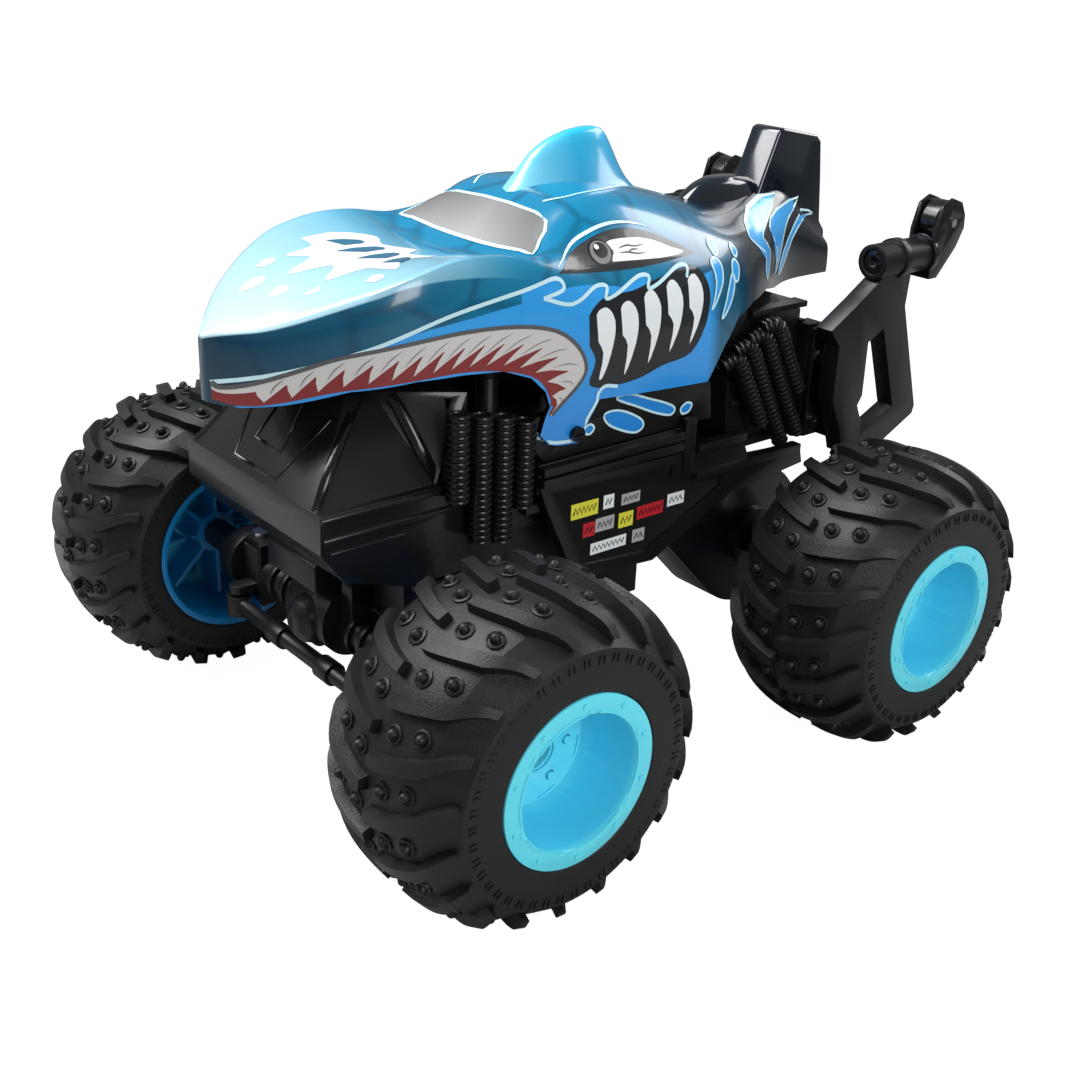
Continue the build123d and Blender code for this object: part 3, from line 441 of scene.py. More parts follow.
def finished(node, body, slot, material, edge=0.35, crease=40):
    """A CAD solid with merged flats and softened edges, in place of its node."""
    mesh = frame["nodes"][node].data.copy()
    mesh.name = f"{node}_finished"
    form = bmesh.new()
    form.from_mesh(mesh)
    bmesh.ops.remove_doubles(form, verts=form.verts, dist=2e-6)
    bmesh.ops.dissolve_limit(form, angle_limit=radians(1.0), verts=form.verts, edges=form.edges)
    form.to_mesh(mesh)
    form.free()
    piece = show(f"{node}_finished", mesh, material)
    if edge:
        bevel = piece.modifiers.new("softened edges", "BEVEL")
        bevel.width = edge * MM
        bevel.segments = 2
        bevel.limit_method = "ANGLE"
        bevel.angle_limit = radians(28)
        piece = settle(piece)
    soften(piece.data, crease)
    return fit(piece, body, slot, node)


def spun(profile, side, y, material, name, turns=96, crease=35):
    """Closed (x, radius) profile turned round a wheel's axis."""
    points = []
    for turn in range(turns):
        angle = 2 * pi * turn / turns
        for x, radius in profile:
            points.append(wheel_point(side, y, x, radius, angle))
    count = len(profile)
    faces = []
    for turn in range(turns):
        following = (turn + 1) % turns
        for index in range(count):
            nearby = (index + 1) % count
            faces.append((turn * count + index, turn * count + nearby,
                          following * count + nearby, following * count + index))
    return build(name, points, faces, material, crease=crease)


def wheel_point(side, y, x, radius, angle):
    """Point at x outboard of a wheel's middle, turned by angle from the rear."""
    px = side * (HALF_TRACK + x)
    return Vector((px * MM, (y + radius * cos(angle)) * MM, (AXLE_Z + radius * sin(angle)) * MM))


def spline(points, steps):
    """Points of any dimension with smooth points added between each pair."""
    vectors = [Vector(point) for point in points]
    first, last = 2 * vectors[0] - vectors[1], 2 * vectors[-1] - vectors[-2]
    chain = [first, *vectors, last]
    dense = []
    for a, b, c, d in zip(chain, chain[1:], chain[2:], chain[3:]):
        for step in range(steps):
            t = step / steps
            dense.append(0.5 * (2 * b + (c - a) * t + (2 * a - 5 * b + 4 * c - d) * t * t
                                + (3 * b - a - 3 * c + d) * t ** 3))
    return dense + [vectors[-1]]


# ---------------------------------------------------------------- node trees
def new_tree(name, inputs):
    tree = bpy.data.node_groups.new(name, "GeometryNodeTree")
    tree.interface.new_socket("Geometry", in_out="INPUT", socket_type="NodeSocketGeometry")
    for label, kind, value in inputs:
        socket = tree.interface.new_socket(label, in_out="INPUT", socket_type=f"NodeSocket{kind}")
        if value is not None:
            socket.default_value = value
    tree.interface.new_socket("Geometry", in_out="OUTPUT", socket_type="NodeSocketGeometry")
    start = tree.nodes.new("NodeGroupInput")
    end = tree.nodes.new("NodeGroupOutput")
    return tree, start, end


def wired(tree, kind, **inputs):
    made = tree.nodes.new(kind)
    for name, value in inputs.items():
        socket = made.inputs[name.replace("_", " ")]
        if isinstance(value, bpy.types.NodeSocket):
            tree.links.new(value, socket)
        else:
            socket.default_value = value
    return made


def calculated(tree, operation, a, b):
    made = tree.nodes.new("ShaderNodeMath")
    made.operation = operation
    for socket, value in zip(made.inputs, (a, b)):
        if isinstance(value, bpy.types.NodeSocket):
            tree.links.new(value, socket)
        else:
            socket.default_value = value
    return made.outputs[0]


def make_round_tree():
    """Repeats the incoming piece evenly round an axis along X through Centre."""
    tree, start, end = new_tree("repeat round wheel", [
        ("Count", "Int", 12), ("Turn", "Float", 0.0), ("Centre", "Vector", None),
        ("Material", "Material", None),
    ])
    line = wired(tree, "GeometryNodeMeshLine", Count=start.outputs["Count"])
    line.inputs["Offset"].default_value = (0, 0, 0)
    index = tree.nodes.new("GeometryNodeInputIndex").outputs[0]
    share = calculated(tree, "DIVIDE", index, start.outputs["Count"])
    angle = calculated(tree, "ADD", calculated(tree, "MULTIPLY", share, 2 * pi), start.outputs["Turn"])
    turned = wired(tree, "ShaderNodeCombineXYZ", X=angle)
    rotation = wired(tree, "FunctionNodeEulerToRotation", Euler=turned.outputs[0])
    placed = wired(tree, "GeometryNodeInstanceOnPoints", Points=line.outputs[0],
                   Instance=start.outputs["Geometry"], Rotation=rotation.outputs[0])
    real = wired(tree, "GeometryNodeRealizeInstances", Geometry=placed.outputs[0])
    moved = wired(tree, "GeometryNodeTransform", Geometry=real.outputs[0],
                  Translation=start.outputs["Centre"])
    last = wired(tree, "GeometryNodeSetMaterial", Geometry=moved.outputs[0],
                 Material=start.outputs["Material"])
    tree.links.new(last.outputs[0], end.inputs[0])
    return tree


def make_pipe_tree():
    """A ringed pipe along the incoming curve."""
    tree, start, end = new_tree("ringed pipe", [
        ("Radius", "Float", 0.0039), ("Pitch", "Float", 0.0021), ("Material", "Material", None),
    ])
    curve = start.outputs["Geometry"]
    core_radius = calculated(tree, "MULTIPLY", start.outputs["Radius"], 0.8)
    core = wired(tree, "GeometryNodeCurvePrimitiveCircle", Resolution=20, Radius=core_radius)
    tube = wired(tree, "GeometryNodeCurveToMesh", Curve=curve, Profile_Curve=core.outputs[0], Fill_Caps=True)
    ring_radius = calculated(tree, "MULTIPLY", start.outputs["Radius"], 0.83)
    wire_radius = calculated(tree, "MULTIPLY", start.outputs["Radius"], 0.17)
    loop = wired(tree, "GeometryNodeCurvePrimitiveCircle", Resolution=20, Radius=ring_radius)
    wire = wired(tree, "GeometryNodeCurvePrimitiveCircle", Resolution=8, Radius=wire_radius)
    ring = wired(tree, "GeometryNodeCurveToMesh", Curve=loop.outputs[0], Profile_Curve=wire.outputs[0])
    stops = wired(tree, "GeometryNodeCurveToPoints", Curve=curve)
    stops.mode = "LENGTH"
    tree.links.new(start.outputs["Pitch"], stops.inputs["Length"])
    rings = wired(tree, "GeometryNodeInstanceOnPoints", Points=stops.outputs["Points"],
                  Instance=ring.outputs[0], Rotation=stops.outputs["Rotation"])
    both = tree.nodes.new("GeometryNodeJoinGeometry")
    tree.links.new(rings.outputs[0], both.inputs[0])
    tree.links.new(tube.outputs[0], both.inputs[0])
    real = wired(tree, "GeometryNodeRealizeInstances", Geometry=both.outputs[0])
    last = wired(tree, "GeometryNodeSetMaterial", Geometry=real.outputs[0],
                 Material=start.outputs["Material"])
    tree.links.new(last.outputs[0], end.inputs[0])
    return tree


def grow(piece, tree, **values):
    """Run a node tree on a piece and keep the result as plain mesh."""
    modifier = piece.modifiers.new(tree.name, "NODES")
    modifier.node_group = tree
    for item in tree.interface.items_tree:
        key = item.name.lower()
        if item.in_out == "INPUT" and key in values:
            modifier[item.identifier] = values[key]
    piece = settle(piece)
    soften(piece.data, 40)
    return piece


# ---------------------------------------------------------------- tyres
TYRE_RADIUS = 55.0
TYRE_SHOULDER = 39.4
TYRE_HALF = 30.6
SHOULDER_START = 0.7


def crown(share):
    """Outer (x, radius) of the tread at a share of the half width."""
    bulge = max(1 - share ** 2.6, 0.0) ** 0.46
    return share * TYRE_HALF, TYRE_SHOULDER + (TYRE_RADIUS - TYRE_SHOULDER) * bulge


def crown_lowered(share, depth):
    """The tread moved inwards along its own normal."""
    x0, r0 = crown(max(share - 0.04, 0.0))
    x1, r1 = crown(min(share + 0.04, 1.0))
    way = Vector((x1 - x0, r1 - r0)).normalized()
    x, radius = crown(share)
    return x + way.y * depth, radius - way.x * depth


def lug(half, height, sweep):
    """One curved lug on the half of the tread given by half, at the top of a tyre at the origin."""
    steps = 16
    points = []
    for step in range(steps + 1):
        part = step / steps
        share = 0.03 + 0.94 * part
        past = max(part - SHOULDER_START, 0.0)
        turn = pi / 2 + sweep * (part ** 1.5 + 1.1 * past)
        width = 1.9 + 0.9 * part - 4.6 * past
        for depth, spread in ((height + 0.9, 1.25), (0.0, 0.95), (0.0, -0.95), (height + 0.9, -1.25)):
            x, radius = crown_lowered(share, depth)
            angle = turn + width * spread / radius
            points.append(Vector((half * x, radius * cos(angle), radius * sin(angle))) * MM)
    faces = [(0, 1, 2, 3), tuple(steps * 4 + index for index in range(4))]
    for step in range(steps):
        for index in range(4):
            nearby = (index + 1) % 4
            faces.append((step * 4 + index, step * 4 + nearby, step * 4 + 4 + nearby, step * 4 + 4 + index))
    return points, faces


def stud(share, half, turn, height):
    """Rounded stud with a ring round its foot, on the tread."""
    x, radius = crown_lowered(share, height + 0.2)
    x1, r1 = crown(share)
    normal = Vector((half * (x1 - x), 0, r1 - radius)).normalized()
    across = normal.cross(Vector((0, 1, 0))).normalized()
    along = Vector((0, 1, 0))
    foot = Vector((half * x, 0, radius))
    outline = [(3.0, 0.0), (3.0, 0.7), (2.4, 0.95), (2.1, 0.5), (1.75, 0.5), (1.6, 1.7), (1.1, 2.5),
               (0.4, 2.85)]
    sides = 10
    points = []
    for side in range(sides):
        angle = 2 * pi * side / sides
        for reach, rise in outline:
            way = across * cos(angle) + along * sin(angle)
            spot = foot + way * reach + normal * rise
            points.append(Matrix.Rotation(turn, 3, "X") @ spot * MM)
    count = len(outline)
    faces = [tuple(side * count + count - 1 for side in range(sides)),
             tuple(side * count for side in range(sides))]
    for side in range(sides):
        following = (side + 1) % sides
        for index in range(count - 1):
            faces.append((side * count + index, side * count + index + 1,
                          following * count + index + 1, following * count + index))
    return points, faces


def carcass_profile(height):
    """Closed (x, radius) outline of the tyre under its lugs, with an edge where the shoulder starts."""
    outer = [crown_lowered(SHOULDER_START * step / 10, height) for step in range(11)]
    outer += [(29.5, 41.4), (29.95, 40.0), (30.2, 36.0), (30.35, 32.0), (30.2, 28.6)]
    outside = [*outer, (29.6, 28.0), (-19.9, 28.0)]
    inside = [(-22.1, 31.8), (-29.8, 31.8), (-30.3, 33.0)]
    inside += [(-x, radius) for x, radius in reversed(outer[1:-2])]
    return outside + inside


def dash(radius, x):
    """Two short raised bars side by side on the sidewall."""
    points, faces = [], []
    for offset in (-0.9, 0.9):
        first = len(points)
        for px in (x - 0.5, x):
            for py, pr in ((-0.25, -1.3), (0.25, -1.3), (0.25, 1.3), (-0.25, 1.3)):
                points.append(Vector((px, offset + py, radius + pr)) * MM)
        faces += [tuple(first + index for index in side) for side in
                  ((0, 1, 2, 3), (4, 5, 6, 7), (0, 1, 5, 4), (1, 2, 6, 5), (2, 3, 7, 6), (3, 0, 4, 7))]
    return points, faces


class TRUCK_OT_tyres(bpy.types.Operator):
    """Build the four lugged tyres"""
    bl_idname = "truck.tyres"
    bl_label = "Tyres"

    def execute(self, context):
        settings = context.scene.truck_tyres
        height = settings.lug_height / MM
        tree = make_round_tree()
        rubber = MATERIALS["tyre"]
        pitch = 2 * pi / settings.lug_count
        for corner, (side, y, body) in WHEELS.items():
            centre = Vector((side * HALF_TRACK, y, AXLE_Z)) * MM
            pieces = [spun(carcass_profile(height), side, y, rubber, f"carcass_{corner}", 120, 11)]
            for half in (-1, 1):
                stagger = 0 if half > 0 else pitch / 2
                parts = {"lugs": lug(half, height, settings.sweep)}
                for label, share in (("studs_in", 0.2), ("studs_out", 0.53)):
                    turn = pitch / 2 + settings.sweep * share ** 1.5
                    parts[label] = stud(share, half, turn, height)
                for label, (points, faces) in parts.items():
                    piece = build(f"{label}_{corner}_{half + 1}", points, faces, rubber, crease=24)
                    pieces.append(grow(piece, tree, count=settings.lug_count, turn=stagger, centre=centre,
                                       material=rubber))
                points, faces = dash(38.6, 30.45)
                points = [Vector((half * point.x, point.y, point.z)) for point in points]
                piece = build(f"dashes_{corner}_{half + 1}", points, faces, rubber)
                pieces.append(grow(piece, tree, count=44, turn=0.0, centre=centre, material=rubber))
            fit(join(f"tyre_{corner}_tread", pieces), body, "tyre_rubber", f"tyre_{corner}")
        return {"FINISHED"}


# ---------------------------------------------------------------- rims
def peg(radius, x0, x1, reach, sides=16):
    """Short bar along X at reach from the wheel's axis, at the top of a wheel at the origin."""
    points = []
    for x in (x0, x1):
        for index in range(sides):
            angle = 2 * pi * index / sides
            points.append(Vector((x, radius * cos(angle), reach + radius * sin(angle))) * MM)
    faces = [tuple(range(sides)), tuple(range(sides, 2 * sides))]
    for index in range(sides):
        nearby = (index + 1) % sides
        faces.append((index, nearby, sides + nearby, sides + index))
    return points, faces


def arc_bar(radius, width, x0, x1, angle, steps=6):
    """Curved bar round a wheel's axis, centred at the top of a wheel at the origin."""
    points = []
    for step in range(steps + 1):
        turn = pi / 2 - angle / 2 + angle * step / steps
        for x, reach in ((x0, radius), (x1, radius), (x1, radius + width), (x0, radius + width)):
            points.append(Vector((x, reach * cos(turn), reach * sin(turn))) * MM)
    faces = [(0, 1, 2, 3), tuple(steps * 4 + index for index in range(4))]
    for step in range(steps):
        for index in range(4):
            nearby = (index + 1) % 4
            faces.append((step * 4 + index, step * 4 + nearby, step * 4 + 4 + nearby, step * 4 + 4 + index))
    return points, faces


class TRUCK_OT_rims(bpy.types.Operator):
    """Finish the four rims and add their bolts and notched ring"""
    bl_idname = "truck.rims"
    bl_label = "Rims"

    def execute(self, context):
        tree = bpy.data.node_groups["repeat round wheel"]
        blue = MATERIALS["rim"]
        for corner, (side, y, body) in WHEELS.items():
            finished(f"rim_{corner}", body, "rim_cyan", blue, 0.3)
            centre = Vector((side * HALF_TRACK, y, AXLE_Z)) * MM
            details = [
                ("bolts", peg(0.95, 29.8, 30.6, 25.2), 10, 0.0),
                ("sockets", peg(0.5, 30.0, 30.65, 25.2, 6), 10, 0.0),
                ("ring", arc_bar(22.0, 0.7, 29.9, 30.5, radians(46)), 6, 0.4),
                ("teeth", arc_bar(22.6, 1.1, 29.9, 30.45, radians(7)), 6, 0.4 + pi / 6),
                ("disc", arc_bar(16.1, 0.9, 9.6, 10.6, radians(24)), 6, 0.3),
                ("collar", arc_bar(6.2, 1.6, 9.6, 10.8, 2 * pi, 32), 1, 0.0),
                ("hub_bolts", peg(1.3, 8.2, 10.5, 11.8, 6), 6, pi / 6),
            ]
            for label, (points, faces), count, turn in details:
                points = [Vector((side * point.x, point.y, point.z)) for point in points]
                piece = build(f"rim_{label}_{corner}", points, faces, blue)
                piece = grow(piece, tree, count=count, turn=turn, centre=centre, material=blue)
                fit(piece, body, "rim_cyan")
        return {"FINISHED"}


# ---------------------------------------------------------------- ringed pipes
FRONT_PIPES = [(-68.5, 110, 138), (-59.5, 94, 136), (-50.8, 92, 134), (-42, 102, 131)]
REAR_PIPES = [
    ((50.5, 133.0), (57.5, 136.5), (74.0, 107.5)),
    ((56.5, 137.5), (63.5, 140.5), (86.8, 97.6)),
    ((64.0, 140.5), (71.0, 143.0), (95.0, 100.0)),
    ((70.5, 144.0), (77.5, 146.0), (93.4, 117.5)),
]


def pipe(name, route, radius, tree, pitch):
    line = bpy.data.curves.new(name, "CURVE")
    line.dimensions = "3D"
    strand = line.splines.new("POLY")
    dense = []
    for index, point in enumerate(route):
        spot = at(*point)
        if 0 < index < len(route) - 1:
            before, after = at(*route[index - 1]), at(*route[index + 1])
            near = spot + (before - spot).normalized() * 0.005
            far = spot + (after - spot).normalized() * 0.005
            for step in range(7):
                t = step / 6
                dense.append(near * (1 - t) ** 2 + spot * 2 * t * (1 - t) + far * t * t)
        else:
            dense.append(spot)
    strand.points.add(len(dense) - 1)
    for place, spot in zip(strand.points, dense):
        place.co = (*spot, 1)
    piece = bpy.data.objects.new(name, line)
    bpy.context.scene.collection.objects.link(piece)
    return grow(piece, tree, radius=radius, pitch=pitch, material=MATERIALS["pipe"])


class TRUCK_OT_pipes(bpy.types.Operator):
    """Build the ringed pipes on both sides"""
    bl_idname = "truck.pipes"
    bl_label = "Ringed pipes"

    def execute(self, context):
        settings = context.scene.truck_pipes
        tree = make_pipe_tree()
        for side, word in ((1, "left"), (-1, "right")):
            front, rear = [], []
            for index, (y, low, high) in enumerate(FRONT_PIPES):
                route = [(side * 46.4, y, low), (side * 46.4, y, high)]
                front.append(pipe(f"front_pipe_{word}_{index}", route, settings.front_radius, tree,
                                  settings.pitch))
            for index, (start, bend, end) in enumerate(REAR_PIPES):
                route = [(side * 45.2, *start), (side * 45.6, *bend), (side * 45.6, *end)]
                rear.append(pipe(f"rear_pipe_{word}_{index}", route, settings.rear_radius, tree,
                                 settings.pitch))
            fit(join(f"front_pipes_{word}_ringed", front), CHASSIS, "black_ribbed", f"front_pipes_{word}")
            fit(join(f"rear_pipes_{word}_ringed", rear), CHASSIS, "black_ribbed", f"rear_pipes_{word}")
        return {"FINISHED"}


# ---------------------------------------------------------------- body shell
# Each station: y, then (x, z) from the lower edge up to the centre line.
STATIONS = [
    (-130.0, (1.2, 128), (1.6, 150), (1.4, 160.5), (1.0, 161.6), (0.5, 161.9), (0, 162.0)),
    (-127.6, (5.5, 128), (6.0, 150), (5.2, 161.6), (3.8, 163.0), (1.9, 163.5), (0, 163.6)),
    (-124.0, (10.8, 128), (11.4, 150), (10.2, 162.2), (7.6, 164.4), (3.8, 165.2), (0, 165.4)),
    (-119.0, (17.6, 128), (18.2, 150), (17.0, 163.4), (13.0, 166.4), (6.5, 167.5), (0, 167.9)),
    (-112.0, (25.0, 128), (25.6, 152), (24.4, 167.0), (19.0, 169.8), (9.5, 171.0), (0, 171.4)),
    (-103.0, (32.0, 128), (32.6, 154), (31.3, 171.0), (25.0, 173.6), (12.0, 174.6), (0, 175.0)),
    (-92.0, (38.8, 128), (39.6, 156), (38.2, 175.3), (31.0, 177.8), (15.0, 178.2), (0, 178.2)),
    (-80.0, (42.8, 122), (43.6, 158), (42.0, 179.4), (35.0, 181.5), (17.0, 180.5), (0, 180.0)),
    (-65.0, (44.6, 112), (45.6, 158), (42.5, 182.4), (35.0, 183.6), (17.0, 181.2), (0, 180.3)),
    (-50.0, (46.2, 108), (47.0, 158), (43.4, 182.2), (35.5, 183.0), (17.0, 180.0), (0, 179.0)),
    (-36.0, (48.4, 106), (48.8, 158), (45.2, 180.0), (37.5, 180.2), (18.0, 177.6), (0, 176.8)),
    (-20.0, (50.4, 106), (50.4, 156), (45.2, 177.0), (29.5, 188.8), (15.0, 190.2), (0, 190.4)),
    (-8.0, (50.8, 106), (50.8, 156), (45.0, 177.0), (30.5, 192.6), (16.0, 195.2), (0, 196.0)),
    (8.0, (51.0, 106), (51.0, 155), (45.0, 177.0), (30.5, 192.4), (16.0, 195.6), (0, 196.6)),
    (28.0, (50.6, 106), (50.4, 153), (44.4, 175.6), (28.5, 189.6), (15.0, 193.0), (0, 194.0)),
    (48.0, (49.4, 120), (48.8, 153), (42.0, 174.0), (25.5, 185.6), (13.0, 188.6), (0, 189.4)),
    (66.0, (44.6, 140), (43.6, 154), (37.0, 172.0), (22.0, 181.2), (11.0, 183.8), (0, 184.6)),
    (84.0, (34.6, 142), (34.0, 153), (29.0, 170.0), (18.0, 178.8), (9.0, 181.4), (0, 182.0)),
    (102.0, (22.4, 142), (22.6, 154), (20.4, 170.0), (14.5, 179.0), (8.0, 182.6), (0, 183.4)),
    (120.0, (14.6, 142), (15.2, 152), (14.4, 166.0), (11.5, 176.0), (7.6, 182.0), (0, 183.6)),
    (146.0, (11.2, 142), (11.6, 150), (11.2, 158.0), (9.6, 161.0), (5.5, 163.6), (0, 164.6)),
]
LOWER_EDGE = [(-134, 141.5), (-124, 141), (-116, 143), (-100, 148), (-82, 150.2), (-66, 150.2),
              (-51.6, 149.3), (-41.3, 145.6), (-35.7, 140.2), (-33.8, 134.8), (-35.3, 131.7),
              (-37, 125.5), (-33.5, 121.8), (-29.6, 120.9), (-21.8, 120.6), (-18, 128), (-14, 134.4),
              (38, 131), (46.5, 143), (54, 151), (66, 154.2), (84, 154.4), (100, 150.6), (150, 148.4)]
CHEEK_SCREW = (-23.3, 124.2)
SHELL_WALL = 2.0


def half_section(points, inset):
    """Dense (x, z) half section from the lower edge to the centre line, moved inwards by inset."""
    mirrored = [*points, (-points[-2][0], points[-2][1])]
    dense = spline(mirrored, 4)[:-4]
    dense[-1].x = 0.0
    last = len(dense) - 1
    moved = []
    for index, point in enumerate(dense):
        way = (dense[min(index + 1, last)] - dense[max(index - 1, 0)]).normalized()
        if index == last:
            moved.append(Vector((0, point.y - inset)))
        else:
            moved.append(Vector((max(point.x - way.y * inset, 0.3), point.y + way.x * inset)))
    return moved


def shell_form(name, stations, inset, material, rows=4):
    """Closed smooth body through the stations, moved inwards by inset."""
    tracks = []
    for index in range(len(stations[0]) - 1):
        tracks.append(spline([(y, *points[index]) for y, *points in stations], rows))
    loops = []
    for row in zip(*tracks):
        half = half_section([(point[1], point[2]) for point in row], inset)
        whole = half + [Vector((-point.x, point.y)) for point in reversed(half[:-1])]
        loops.append([at(point.x, row[0][0], point.y) for point in whole])
    count = len(loops[0])
    faces = [tuple(range(count)), tuple((len(loops) - 1) * count + index for index in range(count))]
    for line in range(len(loops) - 1):
        for index in range(count):
            nearby = (index + 1) % count
            faces.append((line * count + index, line * count + nearby,
                          (line + 1) * count + nearby, (line + 1) * count + index))
    return build(name, [point for loop in loops for point in loop], faces, material, crease=30)


def slab(name, outline, x0, x1, material):
    """Flat plate along X with an outline of (y, z) points."""
    points = [at(x, y, z) for x in (x0, x1) for y, z in outline]
    count = len(outline)
    faces = [tuple(range(count)), tuple(range(count, 2 * count))]
    for index in range(count):
        nearby = (index + 1) % count
        faces.append((index, nearby, count + nearby, count + index))
    return build(name, points, faces, material)


def cut(piece, tool):
    """Take tool away from piece."""
    modifier = piece.modifiers.new("cut", "BOOLEAN")
    modifier.operation = "DIFFERENCE"
    modifier.solver = "EXACT"
    modifier.material_mode = "TRANSFER"
    modifier.object = tool
    piece = settle(piece)
    bpy.data.objects.remove(tool)
    return piece


def bevelled(piece, width, crease=35):
    modifier = piece.modifiers.new("softened edges", "BEVEL")
    modifier.width = width * MM
    modifier.segments = 3
    modifier.limit_method = "ANGLE"
    modifier.angle_limit = radians(28)
    piece = settle(piece)
    soften(piece.data, crease)
    return piece


def layered_fin(name, levels, material, power=0.8):
    """Fin from level slices: z, front y, rear y, half width."""
    rounds = 28
    points = []
    dense = spline(levels, 4)
    for level in dense:
        z, front, rear, half = level
        for index in range(rounds):
            angle = 2 * pi * index / rounds
            across, along = sin(angle), cos(angle)
            x = half * abs(across) ** power * (1 if across > 0 else -1)
            y = (front + rear) / 2 - (rear - front) / 2 * along
            points.append(at(x, y, z))
    faces = [tuple(range(rounds)), tuple((len(dense) - 1) * rounds + index for index in range(rounds))]
    for line in range(len(dense) - 1):
        for index in range(rounds):
            nearby = (index + 1) % rounds
            faces.append((line * rounds + index, line * rounds + nearby,
                          (line + 1) * rounds + nearby, (line + 1) * rounds + index))
    return build(name, points, faces, material, crease=50)


TAIL_OUTLINE = [(101, 176), (106, 188.2), (113.5, 206.4), (116, 207.2), (136, 203.4), (139, 200.8),
                (141.2, 187), (143.6, 169), (147, 165), (149, 152), (143, 150), (112, 152)]


class TRUCK_OT_shell(bpy.types.Operator):
    """Build the shark shell with its fins"""
    bl_idname = "truck.shell"
    bl_label = "Shark shell"

    def execute(self, context):
        shell = shell_form("shark_shell_skin", STATIONS, 0.0, MATERIALS["shell"])
        inner = shell_form("hollow", STATIONS[2:-1], SHELL_WALL, MATERIALS["inside"])
        shell = cut(shell, inner)
        below = slab("below", [(-140, 90), *LOWER_EDGE, (160, 148.4), (160, 90)], -70, 70,
                     MATERIALS["inside"])
        shell = cut(shell, below)
        for side in (-1, 1):
            points, faces = peg(1.6, side * 40, side * 60, 0)
            spot = at(0, *CHEEK_SCREW)
            tool = build("hole", [point + spot for point in points], faces, MATERIALS["inside"])
            shell = cut(shell, tool)
        soften(shell.data, 30)
        fit(shell, CHASSIS, "shell_blue", "shark_shell")
        fin = layered_fin("dorsal_fin", [
            (186, -21, 47, 15.5), (190, -17, 43, 12.6), (194, -14.5, 38.5, 10.2), (198, -11, 35.5, 8.2),
            (202, -7.5, 33.2, 6.4), (206, -3.6, 31, 4.8), (209.5, 2.6, 28.8, 3.5), (211.8, 10, 26.4, 2.4),
            (212.8, 16, 23, 1.2),
        ], MATERIALS["fin"], 0.75)
        fit(fin, CHASSIS, "shell_blue")
        hump = layered_fin("roof_hump", [
            (180, 66, 112, 7.5), (184, 70, 110, 6.8), (188, 76, 106, 5.6), (190.2, 82, 98, 3.6),
        ], MATERIALS["night"])
        fit(hump, CHASSIS, "shell_blue")
        tail = bevelled(slab("tail_fin", TAIL_OUTLINE, -7.4, 7.4, MATERIALS["night"]), 1.0)
        fit(tail, CHASSIS, "shell_blue")
        for x, y, top in ((24, -40, 176.4), (24, 20, 187.0)):
            for side in (-1, 1):
                points, faces = upright(4.2, 140.4, top, side * x, y)
                post = build(f"body_post_{x}_{abs(y)}_{side + 1}", points, faces, MATERIALS["inside"])
                fit(post, CHASSIS, "shell_blue")
        return {"FINISHED"}


def upright(radius, z0, z1, x, y, sides=24):
    """Standing bar."""
    points = []
    for z in (z0, z1):
        for index in range(sides):
            angle = 2 * pi * index / sides
            points.append(at(x + radius * cos(angle), y + radius * sin(angle), z))
    faces = [tuple(range(sides)), tuple(range(sides, 2 * sides))]
    for index in range(sides):
        nearby = (index + 1) % sides
        faces.append((index, nearby, sides + nearby, sides + index))
    return points, faces


